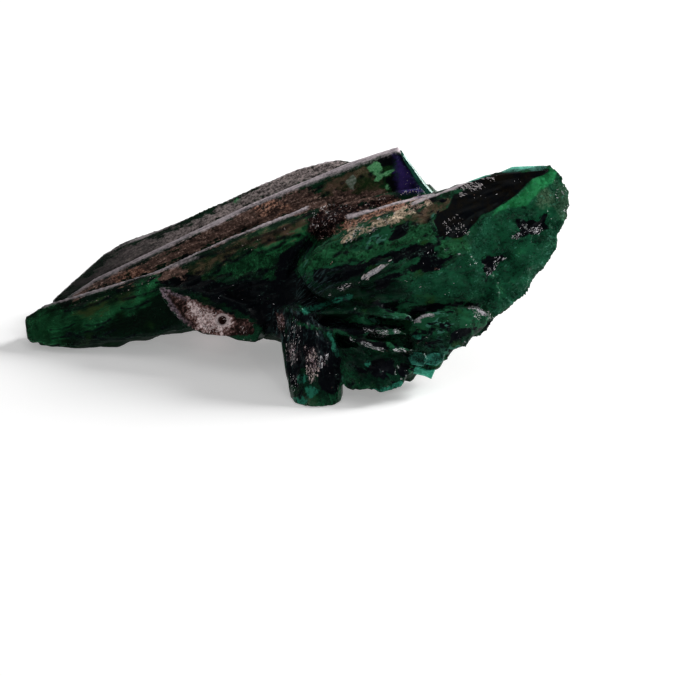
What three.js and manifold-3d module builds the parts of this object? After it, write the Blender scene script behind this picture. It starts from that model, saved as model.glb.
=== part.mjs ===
// A cluster of intergrown axinite crystals, as one solid. Three long blades side by side make the arm that
// runs down to the left, the middle one ends in a squared-off prism, and a broad broken wedge fans out to the
// right. A stub at the front, the tip of the arm and a crystal at the back are its feet. Millimetres, +Z up.
import * as THREE from "three";
import { ConvexGeometry } from "three/addons/geometries/ConvexGeometry.js";
import { mergeVertices } from "three/addons/utils/BufferGeometryUtils.js";
import Module from "manifold-3d";

const wasm = await Module();
wasm.setup();

// The crystals are laid out as [across, into, up], upright in front of the viewer, with the front foot at
// [0, 0, 0]. The whole cluster then leans back by LEAN, which sets it down on its feet.
const LEAN = THREE.MathUtils.degToRad(25);
const ARM_TIP = [-49.1, 20.5, 14.4]; // left end of the front blade
const FRONT_CORNER = [1.2, 13, 34.2]; // where the front blade's ridge ends
const PRISM_CORNER = [12.9, 18.7, 42.8]; // highest corner, where the middle blade's ridge ends
const BACK_CORNER = [2.9, 26.9, 40.9]; // where the back blade's ridge ends
const WEDGE_TOP = [36.6, 11.5, 39.9]; // top of the wedge's broken edge
const WEDGE_RIGHT = [41.7, 10.8, 35.6]; // right-hand end of the wedge
const WEDGE_PEAK = [19.1, 6, 27.9]; // where the three flat faces of the wedge meet
const FOOT_DEPTH = 8; // of the front foot's flat base, from front to back
const BURIED = 0.6; // how far the feet go below the ground before they are trimmed flat
const SUNK = 0.1; // how far the edge of a ledge lies under the surface
const REACH = 120; // longer than the cluster, for the block that trims it and for the rays

// Pseudo-random number from 0 to 1 for a lattice point.
function hash(i, j, k) {
  const s = Math.sin(i * 127.1 + j * 311.7 + k * 74.7) * 43758.5453;
  return s - Math.floor(s);
}

// Smooth noise from -1 to 1 with one bump for each unit of length.
function noise(x, y, z) {
  const [i, j, k] = [Math.floor(x), Math.floor(y), Math.floor(z)];
  const ease = (t) => t * t * (3 - 2 * t);
  const [fx, fy, fz] = [ease(x - i), ease(y - j), ease(z - k)];
  let sum = 0;
  for (const [a, wa] of [[0, 1 - fx], [1, fx]])
    for (const [b, wb] of [[0, 1 - fy], [1, fy]])
      for (const [c, wc] of [[0, 1 - fz], [1, fz]])
        sum += wa * wb * wc * hash(i + a, j + b, k + c);
  return sum * 2 - 1;
}

const vector = (p) => new THREE.Vector3(...p);

// The convex crystal with these corners.
const crystal = (...corners) => new ConvexGeometry(corners.map(vector));

// A corner of a foot, a little below the ground at this place across and back.
function buried(across, back) {
  const [sin, cos] = [Math.sin(LEAN), Math.cos(LEAN)];
  return [across, back * cos + BURIED * sin, back * sin - BURIED * cos];
}

// The geometry with one vertex for each corner.
function welded(geometry) {
  const bare = geometry.clone();
  bare.deleteAttribute("normal");
  bare.deleteAttribute("uv");
  return mergeVertices(bare, 1e-4);
}

function solidOf(geometry) {
  const closed = welded(geometry);
  return new wasm.Manifold(
    new wasm.Mesh({
      numProp: 3,
      vertProperties: new Float32Array(closed.attributes.position.array),
      triVerts: new Uint32Array(closed.index.array),
    }),
  );
}

const union = (list) => list.reduce((sum, next) => sum.add(next));

// The half of space beyond a plane, as a block to subtract.
function beyond(point, normal) {
  const block = new THREE.BoxGeometry(REACH * 2, REACH * 2, REACH);
  block.translate(0, 0, REACH / 2);
  const away = vector(normal).normalize();
  const turn = new THREE.Quaternion().setFromUnitVectors(new THREE.Vector3(0, 0, 1), away);
  block.applyQuaternion(turn);
  block.translate(...point);
  return solidOf(block);
}

function geometryOf(solid) {
  const mesh = solid.getMesh();
  const geometry = new THREE.BufferGeometry();
  geometry.setAttribute("position", new THREE.BufferAttribute(mesh.vertProperties, 3));
  geometry.setIndex(new THREE.BufferAttribute(mesh.triVerts, 1));
  return geometry;
}

// The surface of a solid, looked at from the front with side 1 and from the back with side -1. The function
// gives the corner there at [across, up], lifted toward that side, or null where there is nothing.
function surface(solid, side) {
  const target = new THREE.Mesh(geometryOf(solid));
  target.material.side = THREE.DoubleSide;
  const ray = new THREE.Raycaster();
  return ([across, up], lift) => {
    ray.set(vector([across, -side * REACH, up]), vector([0, side, 0]));
    const hit = ray.intersectObject(target)[0];
    return hit ? [across, hit.point.y - side * lift, up] : null;
  };
}

// The crystal with these corners, unless one is missing or it would bridge a groove deeper than this.
function crystalOn(corners, deepest) {
  if (corners.includes(null)) return [];
  const depths = corners.map((corner) => corner[1]);
  return Math.max(...depths) - Math.min(...depths) > deepest ? [] : [solidOf(crystal(...corners))];
}

// A field of the surface, from its four corners as [across, up]: the two ends of its top and of its bottom.
function spots([[a, b], [c, d]]) {
  const mix = (p, q, t) => [0, 1].map((n) => p[n] + (q[n] - p[n]) * t);
  return (t, v) => mix(mix(a, b, t), mix(c, d, t), v);
}

// Growth ledges in a field: long slivers that run from its left to its right and stand out like shingles.
function ledges(on, { field, count, proud, wide, seed, lengths = [0.2, 0.5] }) {
  const spot = spots(field);
  const tall = Math.hypot(...[0, 1].map((n) => field[1][0][n] - field[0][0][n]));
  return Array.from({ length: count }, (_, i) => {
    const [a, b, c, d] = [1, 2, 3, 4].map((n) => hash(seed, i, n));
    const v = (i + 0.2 + 0.6 * a) / count;
    const span = lengths[0] + (lengths[1] - lengths[0]) * b;
    const start = c * (1 - span);
    const high = proud * (0.5 + 0.5 * d);
    const half = (wide * (0.6 + 0.4 * b)) / tall / 2;
    const corner = (t, across, lift) => on(spot(start + span * t, v + across * half), lift);
    return crystalOn([
      corner(0, 0.3, -SUNK),
      corner(1, -0.2, -SUNK),
      corner(0.35, -1, -SUNK),
      corner(0.3, 1, -SUNK),
      corner(0.7, 1, -SUNK),
      corner(0.2, 0.5, high),
      corner(0.7 + 0.15 * a, 0.6, high * 0.7),
      corner(0.4, 0, -wide),
    ], proud * 3 + wide * 2);
  }).flat();
}

// Etch pits in a field: small hollows with flat sides, to subtract.
function pits(on, { field, count, deep, wide, seed }) {
  const slope = 0.35; // they lie along the blades
  return Array.from({ length: count }, (_, i) => {
    const [a, b, c, d] = [1, 2, 3, 4].map((n) => hash(seed, i, n));
    const [x, z] = spots(field)((i + 0.15 + 0.7 * a) / count, 0.1 + 0.8 * b);
    const size = wide * (0.5 + 0.5 * c);
    const corner = (across, up, lift) => on([x + across * size, z + (up + across * slope) * size], lift);
    return crystalOn([
      corner(-1.1, 0.1, SUNK),
      corner(-0.4, -0.5, SUNK),
      corner(0.9, -0.5 + 0.4 * d, SUNK),
      corner(1.2, 0.1, SUNK),
      corner(0.2, 0.6, SUNK),
      corner(-0.2 + 0.5 * d, 0.1, -deep),
      corner(0.5, -0.1, -deep * 0.7),
    ], deep * 4);
  }).flat();
}

// Splits every edge longer than size wherever where(point) is above 0, and moves those points by noise: a
// broken, hackly surface. cell is the length of one bump along each axis.
function broken(geometry, { size, depth, cell, where }) {
  const start = welded(geometry);
  const points = [];
  for (let i = 0; i < start.attributes.position.count; i++)
    points.push(new THREE.Vector3().fromBufferAttribute(start.attributes.position, i));
  let faces = [];
  for (let i = 0; i < start.index.count; i += 3)
    faces.push([0, 1, 2].map((n) => start.index.array[i + n]));
  for (let split = true; split; ) {
    split = false;
    const middles = new Map();
    const middle = (a, b) => {
      const key = a < b ? `${a} ${b}` : `${b} ${a}`;
      if (!middles.has(key)) {
        const m = points[a].clone().add(points[b]).divideScalar(2);
        const long = points[a].distanceTo(points[b]) > size && where(m) > 0;
        middles.set(key, long ? points.push(m) - 1 : null);
      }
      return middles.get(key);
    };
    const next = [];
    for (const face of faces) {
      const mids = face.map((p, n) => middle(p, face[(n + 1) % 3]));
      const count = mids.filter((m) => m !== null).length;
      if (count) split = true;
      if (count === 0) next.push(face);
      else if (count === 3) {
        const [[a, b, c], [ab, bc, ca]] = [face, mids];
        next.push([a, ab, ca], [ab, b, bc], [ca, bc, c], [ab, bc, ca]);
      } else {
        const first = mids.findIndex((m) => (m !== null) === (count === 1));
        const [a, b, c] = [0, 1, 2].map((n) => face[(first + n) % 3]);
        const [ab, bc, ca] = [0, 1, 2].map((n) => mids[(first + n) % 3]);
        if (count === 1) next.push([a, ab, c], [ab, b, c]);
        else next.push([a, b, bc], [a, bc, ca], [ca, bc, c]);
      }
    }
    faces = next;
  }
  const moved = points.map((p) => {
    const weight = Math.max(0, Math.min(1, where(p)));
    const at = [p.x / cell[0], p.y / cell[1], p.z / cell[2]];
    const shift = [0, 1, 2].map((n) => noise(at[0] + 17.3 * n, at[1] - 9.1 * n, at[2] + 5.7 * n));
    return p.clone().addScaledVector(new THREE.Vector3(...shift), depth * weight);
  });
  const made = new THREE.BufferGeometry().setFromPoints(moved);
  made.setIndex(faces.flat());
  return made;
}

// The front blade, in two lengths. Its underside and its right-hand end are broken.
function frontBlade() {
  const arm = crystal(
    [-45.6, 20, 16.6],
    [-20, 16.4, 24.2],
    [-45.8, 19.6, 15.7],
    [-20, 15.8, 23.3],
    ARM_TIP,
    [-48.8, 19.3, 11.4],
    [-48, 19.2, 9.9],
    [-48, 24, 13],
    [-43, 18.6, 9.9],
    [-36.5, 17.6, 9.9],
    [-31.5, 16.2, 11.6],
    [-20, 14.6, 12.8],
    [-44, 24, 9.2],
    [-36, 24, 9.6],
    [-18, 20, 12.6],
    [-20, 24, 18],
    [-42, 25, 16],
  );
  const body = crystal(
    [-29.8, 18, 21],
    [-14.5, 15.2, 28],
    FRONT_CORNER,
    [-29.5, 17.4, 20.2],
    [-14.2, 14.5, 27],
    [1.4, 12.3, 33.1],
    [-2, 11.4, 30],
    [-5, 11, 26],
    [-6, 10.6, 21],
    [-29, 16, 12.4],
    [-16, 13.2, 14],
    [-26, 22, 13],
    [-6, 18, 15],
    [-28, 22, 20],
    [0, 17, 30],
  );
  const underside = (p) => (12.6 - p.z) / 1.2;
  const end = (p) => (p.x + 7 - (p.z - 21) * 0.55) / 1.5;
  return union([
    solidOf(broken(arm, { size: 2.4, depth: 0.6, cell: [2.4, 1.8, 1.5], where: underside })),
    solidOf(broken(body, { size: 2.1, depth: 0.65, cell: [1.9, 1.8, 1.9], where: end })),
  ]);
}

// The middle blade, whose far end is the squared-off prism. A flat bevel runs along its ridge.
function middleBlade() {
  return solidOf(crystal(
    [-46, 26, 15],
    [-41.4, 27, 18.3],
    [-37.5, 26.7, 21],
    [-12, 22.4, 33.2],
    [4.6, 19.9, 40.1],
    PRISM_CORNER,
    [-37.3, 25.9, 20],
    [-12, 21.4, 32],
    [4.6, 18.9, 38.9],
    [12.2, 17.6, 41.7],
    [17.8, 16, 34.4],
    [18.9, 20.5, 35],
    [20.6, 15.4, 30],
    [22, 22, 30],
    [12, 15, 27],
    [-12, 18.4, 22],
    [-38, 23.5, 13],
    [-42, 28, 11],
    [-20, 30, 14],
    [16, 28, 27],
    [12, 25.5, 41.6],
    [-12, 29, 31],
    [-36, 32, 18],
  ));
}

// The back blade, in two lengths that overlap, with a stepped outline.
function backBlade() {
  const left = crystal(
    [-44.9, 29.5, 17.2],
    [-42, 31, 19.6],
    [-39.2, 32, 21.6],
    [-36.4, 33, 24.9],
    [-33, 33, 27.1],
    [-19, 31, 32],
    [-10, 29.4, 33.4],
    [-33, 32, 26.2],
    [-19, 29.6, 30.9],
    [-10, 24, 26],
    [-36, 26, 17],
    [-42, 33, 13],
    [-34, 37, 20],
    [-20, 38, 22],
    [-8, 34, 30],
  );
  const right = crystal(
    [-27, 31.8, 29],
    [-19, 30.5, 32.3],
    [-7, 28.6, 38],
    [-3.4, 28, 39.5],
    BACK_CORNER,
    [5.6, 26, 40.4],
    [-19, 29.6, 31.4],
    [-6.6, 27.4, 36.9],
    [3, 25.8, 39.8],
    [6, 22, 36],
    [-20, 25, 24],
    [-24, 36, 24],
    [-4, 36, 30],
    [8, 32, 32],
    [-20, 34, 16],
    [8, 30, 22],
  );
  return union([solidOf(left), solidOf(right)]);
}

// Two thin blades in the groove between the prism and the wedge.
function thinBlades() {
  return union([
    solidOf(crystal(
      [2, 12.2, 29.6],
      [4.8, 11.6, 31],
      [12, 11, 33.4],
      [18.6, 10.6, 34.8],
      [12, 10.2, 32.4],
      [4.6, 10.9, 30.1],
      [19.4, 10.4, 33.6],
      [2, 13, 24],
      [19, 12, 28],
      [4, 17, 30],
      [19.6, 16, 34],
    )),
    solidOf(crystal(
      [-0.6, 13.6, 31],
      [4, 13, 33.4],
      [12.6, 12.6, 35.4],
      [16.4, 13.4, 35.9],
      [4, 12.2, 32.3],
      [12, 11.9, 34.4],
      [0, 14, 26],
      [16, 14, 28],
      [2, 19, 32],
      [16, 18, 35],
    )),
  ]);
}

// The broad wedge on the right. Three of its flat faces meet at its peak.
function wedgeBody() {
  return solidOf(crystal(
    WEDGE_PEAK,
    [-3.8, 7.4, 22.6],
    [-0.9, 7.8, 25.7],
    [3.3, 8.4, 27.9],
    [9.6, 9.2, 31],
    [15.3, 9.6, 33.3],
    [24.2, 11, 36.6],
    [30, 11.6, 38.3],
    [37.4, 12, 38.8],
    [29.9, 8.9, 34.2],
    [27.2, 8.1, 31],
    [25.8, 7.2, 26],
    [27.4, 7, 19.5],
    [22, 5.8, 15],
    [12, 5, 14.6],
    [1, 5.6, 17.4],
    [-2.4, 6, 19.4],
    [4, 10.4, 29.2],
    [15.6, 11.6, 34.4],
    [6, 20, 24],
    [22, 19, 30],
    [31, 15.5, 33],
    [36.6, 13.6, 38.2],
    [26, 17, 18],
    [4, 16, 15],
  ));
}

// The slab on the upper left of the wedge, which overhangs the face below it.
function wedgeSlab() {
  const slab = crystal(
    [-2.6, 6, 21.8],
    [-0.9, 6.2, 25.2],
    [3.4, 6.9, 27.6],
    [9.6, 7.8, 30.7],
    [14.6, 8.9, 32.6],
    [18.6, 6.8, 29.8],
    [19.4, 5.8, 26.8],
    [17, 5.2, 25.6],
    [11, 5, 24],
    [4.4, 5, 22.8],
    [0, 5.4, 21.4],
    [4, 10, 28.6],
    [15, 11, 33],
    [2, 9, 20.6],
    [18, 9, 24.6],
  );
  const lower = (p) => Math.min((26 + (p.x - 8) * 0.2 - p.z) / 1.5, (7.2 - p.y) / 1.5);
  return solidOf(broken(slab, { size: 2.2, depth: 0.6, cell: [2.4, 2, 1.1], where: lower }));
}

// The broken part of the wedge, which thins to its right-hand edge.
function wedgeFracture() {
  const slab = crystal(
    [26.6, 12, 36.8],
    [27.6, 11.5, 37.9],
    [31.8, 11.5, 39.5],
    WEDGE_TOP,
    [38.3, 11.3, 39.6],
    [40.2, 11, 37],
    WEDGE_RIGHT,
    [41.7, 10.8, 31.8],
    [40, 10.4, 28.2],
    [38.4, 10, 24.8],
    [36.8, 9.4, 22.2],
    [33.8, 8.2, 18.4],
    [29.6, 7, 15.4],
    [27, 6.6, 12.6],
    [25.6, 6.6, 11],
    [24.6, 6.6, 24],
    [26.4, 7.6, 30],
    [30.8, 9.2, 33.6],
    [26, 15, 18],
    [30, 15, 30],
    [34, 14, 34],
    [20, 8, 14],
    [20, 16, 20],
  );
  const hackly = (p) => (p.x - 22) / 2;
  return solidOf(broken(slab, { size: 2.1, depth: 0.65, cell: [2.3, 1.8, 1.5], where: hackly }));
}

// The dusty brown crystal under the arm, with its point to the left.
function brownWedge() {
  return crystal(
    [-27, 14, 19.5],
    [-22, 12.6, 19.2],
    [-17.6, 11.4, 18.6],
    [-13.2, 10.2, 16.9],
    [-9.4, 9.2, 12.8],
    [-26.2, 13.6, 17.6],
    [-24, 12.8, 14.8],
    [-21.6, 12, 12.8],
    [-19, 11.2, 11.7],
    [-14.5, 9.8, 11],
    [-10.6, 8.8, 10.5],
    [-20, 19, 20],
    [-6, 15, 17],
    [-6, 20, 12],
    [-22, 20, 14],
  );
}

// The stub at the front that it stands on, broken off flat.
function foot() {
  return crystal(
    [-7, 6, 16],
    [-3.6, 3.4, 16.8],
    [0.4, 2.4, 13],
    [2.4, 2.2, 11.2],
    [3.7, 3, 7],
    [-6.2, 4, 9],
    [-2.5, 1.2, 9.6],
    [-0.8, 0.8, 10],
    buried(-4.5, 1.6),
    buried(-3.9, 0.2),
    buried(-2, -1),
    buried(0.4, -1.1),
    buried(2.4, -0.5),
    buried(3.6, 1.2),
    buried(3.9, FOOT_DEPTH / 2),
    buried(2, FOOT_DEPTH - 1.1),
    buried(-3, FOOT_DEPTH - 1.1),
    buried(-4.8, FOOT_DEPTH / 2),
    [4, 10, 10],
    [-6, 12, 10],
    [0, 12, 14],
  );
}

// What the blades grow from. It stays behind their front faces.
function core() {
  return crystal(
    [-20, 17, 14.6],
    [-10, 12, 14],
    [-4, 8, 14.6],
    [2, 5.6, 12],
    [10, 4, 6.6],
    [16, 4.6, 7],
    [22, 6.5, 10.4],
    [26, 9, 14],
    [24, 13, 26],
    [-10, 14.5, 25],
    [2, 14.6, 31],
    [16, 20, 34],
    [-18, 30, 28],
    [18, 28, 27],
    [20, 20, 11],
    [-22, 26, 14],
    [0, 22, 11],
    [12, 12, 6.6],
  );
}

// The bundle of blades, lumps and plates below the wedge.
function lowerBlades() {
  const lump = crystal(
    [1, 3, 9.6],
    [4.2, 0.6, 3],
    [7, -0.6, 2.3],
    [10.6, -0.6, 1.9],
    [12.8, 0.4, 2.6],
    [14.2, 1.4, 4.6],
    [14, 2.4, 8.6],
    [8.6, -0.8, 6],
    [6, 1, 9.4],
    [3, 10, 8],
    [14, 10, 7],
  );
  const lens = crystal(
    [14.6, 3.6, 13.2],
    [17, 3, 14.9],
    [22.4, 3.4, 16.2],
    [25.8, 4.4, 16],
    [28.4, 5.6, 14.8],
    [26.6, 5.4, 12.4],
    [23.6, 4, 9.6],
    [20.4, 2.8, 8.3],
    [15, 2, 9],
    [19, 1.8, 12.4],
    [24, 3, 13],
    [18, 10, 12],
    [26, 10, 13],
  );
  const spindles = [
    crystal(
      [3.6, 3.6, 11.6],
      [7, 0.4, 9.7],
      [12, 0, 8.8],
      [15.6, 1.6, 9],
      [11, 0.6, 10.4],
      [7, 2, 11.2],
      [8, 8, 9],
    ),
    crystal(
      [6.6, 3.6, 12.9],
      [9, 1.4, 13.2],
      [12.4, 1, 12.5],
      [14.6, 2.4, 11.6],
      [10.6, 0.8, 11.4],
      [10, 8, 12],
    ),
    crystal(
      [9, 2.4, 16.4],
      [14.4, 2.6, 15],
      [16, 3.4, 13.8],
      [12, 1.6, 14.2],
      [4, 3.6, 15.2],
      [12, 9, 15],
    ),
  ];
  const plates = [0, 1, 2, 3, 4, 5].map((i) => {
    const [a, b, c] = [1, 2, 3].map((n) => hash(31, i, n));
    const size = 1.1 + 0.6 * a;
    const plate = new THREE.CylinderGeometry(size, size * 1.1, 6, 6);
    plate.rotateY(6 * b).rotateX(0.5 * c - 0.4).rotateZ(0.5 * b - 0.2);
    return plate.translate(14.4 + i, 4.6 + 0.2 * i + 0.5 * b, 6 + 1.1 * (i % 2) + 0.3 * i);
  });
  const hackly = (p) => (2.6 - p.y) / 2;
  return union([
    solidOf(broken(lump, { size: 2, depth: 0.6, cell: [1.9, 1.6, 1.6], where: hackly })),
    ...[lens, ...spindles, ...plates].map(solidOf),
  ]);
}

// The foot at the back, on the right, and the crystals that close the back.
function backCrystals() {
  const backFoot = crystal(
    [12, 18, 16],
    [20, 15, 17],
    [25, 18, 22],
    [14, 30, 27],
    [22, 28, 26],
    buried(16, 36),
    buried(22, 34),
    buried(25, 38),
    buried(23, 43),
    buried(17, 42),
  );
  const closing = crystal(
    [-26, 37, 24],
    [18, 29, 37],
    [22, 26, 33],
    [-28, 33, 16],
    [18, 24, 24],
    [-24, 40, 18],
    [14, 33, 31],
    [20, 20, 34],
  );
  const small = [0, 1, 2, 3].map((i) => {
    const [x, y, z] = [-16 + 8.5 * i, 36.4 - 1.9 * i, 22.4 + 2.3 * i];
    const [a, b] = [1, 2].map((n) => 2 * hash(41, i, n));
    return crystal(
      [x - 8 - a, y, z - 3],
      [x - 6, y + 2, z - 1 + b],
      [x - 5, y + 2.4, z - 3],
      [x - 5, y - 3, z - 4],
      [x + 5 + a, y + 2.6, z + 3 + b],
      [x + 6 + a, y + 3, z],
      [x + 7 + b, y - 2, z + 1],
      [x + 6, y - 4, z - 3],
      [x + 5, y - 4, z + 5],
    );
  });
  return union([backFoot, closing, ...small].map(solidOf));
}

const body = union([
  frontBlade(),
  middleBlade(),
  backBlade(),
  thinBlades(),
  wedgeBody(),
  wedgeSlab(),
  wedgeFracture(),
  solidOf(brownWedge()),
  solidOf(foot()),
  solidOf(core()),
  lowerBlades(),
  backCrystals(),
]);

// Fields of growth ledges, each along its own crystal, and of etch pits.
const front = surface(body, 1);
const frontLedges = [
  { field: [[[-38, 21.6], [0, 39]], [[-36, 19], [2, 36]]], count: 7, proud: 0.7, wide: 1, seed: 1 },
  { field: [[[-37, 19.6], [11, 40.6]], [[-35, 17.6], [13, 33]]], count: 9, proud: 0.7, wide: 1.1, seed: 2 },
  { field: [[[-46, 15.4], [-20, 24]], [[-45, 10.6], [-27, 13]]], count: 9, proud: 0.5, wide: 1.2, seed: 4 },
  { field: [[[-28, 20.6], [-2, 31]], [[-24, 15], [-7, 20]]], count: 12, proud: 0.6, wide: 1.3, seed: 5 },
  { field: [[[-20, 20], [-5, 24]], [[-12, 15], [-3, 14]]], count: 8, proud: 0.9, wide: 1.4, seed: 6 },
  { field: [[[-6.6, 21], [-2, 21]], [[-6.4, 14], [-1, 13]]], count: 5, proud: 0.9, wide: 1.6, seed: 3 },
  { field: [[[-3.4, 19], [20, 27]], [[-2, 13], [16, 11]]], count: 13, proud: 1.1, wide: 1.6, seed: 7 },
  { field: [[[12, 26], [25, 27]], [[12, 18], [26, 18]]], count: 7, proud: 0.4, wide: 1.2, seed: 8 },
  { field: [[[20, 34.6], [36, 38.6]], [[21, 30], [30, 34.4]]], count: 7, proud: 0.3, wide: 0.8, seed: 9 },
  { field: [[[-25, 18], [-12, 14.6]], [[-23, 14], [-12, 11.2]]], count: 7, proud: 0.5, wide: 1, seed: 10 },
  { field: [[[-6, 14], [-4.4, 0.6]], [[-2, 12], [-0.8, 0.6]]], count: 4, proud: 0.7, wide: 1.7, seed: 14 },
  { field: [[[-1.6, 13], [-0.4, 0.6]], [[2.6, 11], [3.2, 0.6]]], count: 4, proud: 0.7, wide: 1.9, seed: 16 },
];
const frontPits = [
  { field: [[[2, 27], [22, 33]], [[2, 24], [20, 28]]], count: 7, deep: 1, wide: 1.4, seed: 11 },
  { field: [[[-24, 21], [-4, 29]], [[-22, 17], [-6, 22]]], count: 8, deep: 0.8, wide: 1.1, seed: 12 },
  { field: [[[-2, 36], [10, 40]], [[-1, 33], [12, 36]]], count: 5, deep: 0.7, wide: 1, seed: 13 },
  { field: [[[18, 26], [26, 26]], [[18, 19], [26, 19]]], count: 5, deep: 0.9, wide: 1.3, seed: 15 },
];
const back = surface(body, -1);
const backLedges = [
  { field: [[[-34, 25], [2, 38]], [[-32, 16], [6, 28]]], count: 10, proud: 0.8, wide: 1.5, seed: 21 },
  { field: [[[4, 38], [20, 36]], [[4, 26], [20, 24]]], count: 8, proud: 0.7, wide: 1.4, seed: 22 },
  { field: [[[22, 34], [35, 37]], [[22, 22], [33, 24]]], count: 8, proud: 0.6, wide: 1.4, seed: 23 },
];
const detailed = union([
  body,
  ...frontLedges.flatMap((field) => ledges(front, field)),
  ...backLedges.flatMap((field) => ledges(back, field)),
]).subtract(union(frontPits.flatMap((field) => pits(front, field))));

// Trimmed flat at the ground, and without the small hollows that the crystals leave between them.
const down = [0, Math.sin(LEAN), -Math.cos(LEAN)];
const cluster = detailed
  .subtract(beyond([0, 0, 0], down))
  .decompose()
  .reduce((a, b) => (a.volume() > b.volume() ? a : b));

// Stood up, with the middle of its box over the origin.
const geometry = geometryOf(cluster);
geometry.applyMatrix4(new THREE.Matrix4().makeRotationX(-LEAN));
geometry.computeBoundingBox();
const middle = geometry.boundingBox.getCenter(new THREE.Vector3());
geometry.translate(-middle.x, -middle.y, -geometry.boundingBox.min.z);

const axinite = new THREE.Mesh(
  geometry,
  new THREE.MeshStandardMaterial({ color: 0x0c3a26, roughness: 0.25, metalness: 0 }),
);
axinite.name = "axinite_cluster";

const specimen = new THREE.Group();
specimen.add(axinite);

export default specimen;
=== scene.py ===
import functools
import itertools
import math
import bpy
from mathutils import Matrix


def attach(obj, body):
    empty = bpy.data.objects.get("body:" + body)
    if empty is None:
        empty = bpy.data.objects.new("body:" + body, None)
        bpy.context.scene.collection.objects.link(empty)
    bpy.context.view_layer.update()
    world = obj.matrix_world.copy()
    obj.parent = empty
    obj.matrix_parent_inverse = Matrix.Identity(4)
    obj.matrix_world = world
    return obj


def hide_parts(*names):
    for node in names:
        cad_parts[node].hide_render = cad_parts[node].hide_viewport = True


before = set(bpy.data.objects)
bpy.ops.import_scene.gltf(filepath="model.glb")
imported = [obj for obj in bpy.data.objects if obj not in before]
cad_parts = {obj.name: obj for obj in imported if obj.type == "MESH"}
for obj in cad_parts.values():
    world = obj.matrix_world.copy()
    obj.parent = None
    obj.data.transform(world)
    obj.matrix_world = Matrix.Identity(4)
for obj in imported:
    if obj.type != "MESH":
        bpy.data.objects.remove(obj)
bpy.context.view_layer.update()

import types

import bmesh
import bpy
import numpy as np
from mathutils import Vector
from mathutils.bvhtree import BVHTree
from mathutils.geometry import tessellate_polygon
from mathutils.kdtree import KDTree

# Shapes are worked out in millimetres as [across, into, up] of the view: from the middle of the front
# foot's base, to the right, away from the viewer and upward in the picture. The viewer looks down by LEAN.
MM = 0.001
LEAN = math.radians(25)
FOOT_X, FOOT_Y = 3.83, -22.79  # the middle of the front foot's base in the shared frame
NODE = "axinite_cluster"

CELL = 0.38  # width of one square of the fine mesh
SNAP = 0.28  # corners of the fine mesh this near a crystal's edge are put on it
EVEN_OUT = 0.4  # the evening out of the corners beside an edge fades over this width
SPOT_STEP = 0.2  # between the spots that stand for an edge or a groove
EDGE_ANGLE, GROOVE_ANGLE = math.radians(28), math.radians(55)  # edges and grooves bend by more
SHARP = math.radians(32)  # shading breaks where the surface bends by more than this

BLADE = (0.915, -0.14, 0.38)  # the way that the three long blades run
FAN = (-6.0, 10.0, 15.0)  # where the crystals of the wedge fan out from
FAN_SPREAD = 20.0  # millimetres that one radian of the fan counts for
BLADE_FLAKE, FAN_FLAKE, FOOT_FLAKE = (7, 1.2, 1.2), (4, 1.6, 2), (4, 1.1, 1.1)  # lengths of their flakes
CORE = 9  # how far the dark middle of the fan reaches
SOFT = 1.6  # how far inside its outline a zone is at its full strength
EDGE_REACH, GROOVE_REACH = 0.7, 0.9  # how far the marks of edges and grooves reach
PIT, PIT_RADIUS = (-16.1, 14.0), 0.75  # the round hollow in the brown wedge

# Numbers that scatter mixes its cells with.
PRIMES, SEED_PRIME, MIXER, LOW_BITS = (73856093, 19349663, 83492791), 2654435761, 0x45D9F3B, 0xFFFFFFFF

# Heights of the relief.
BLADE_CHIP, WEDGE_CHIP, FOOT_CHIP, CRUMB = 0.05, 0.22, 0.25, 0.07
BROKEN_LUMP, DUST_LUMP, DUST_GRAIN, UNDER_LUMP, RIM_LUMP, RIM_GRAIN = 0.3, 0.2, 0.14, 0.35, 0.3, 0.15
FROST_RISE, DARK_DROP, PIT_LIP, PIT_DEPTH = 0.22, 0.12, 0.3, 0.9
BEVEL = 0.25  # of the plates' edges

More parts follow.
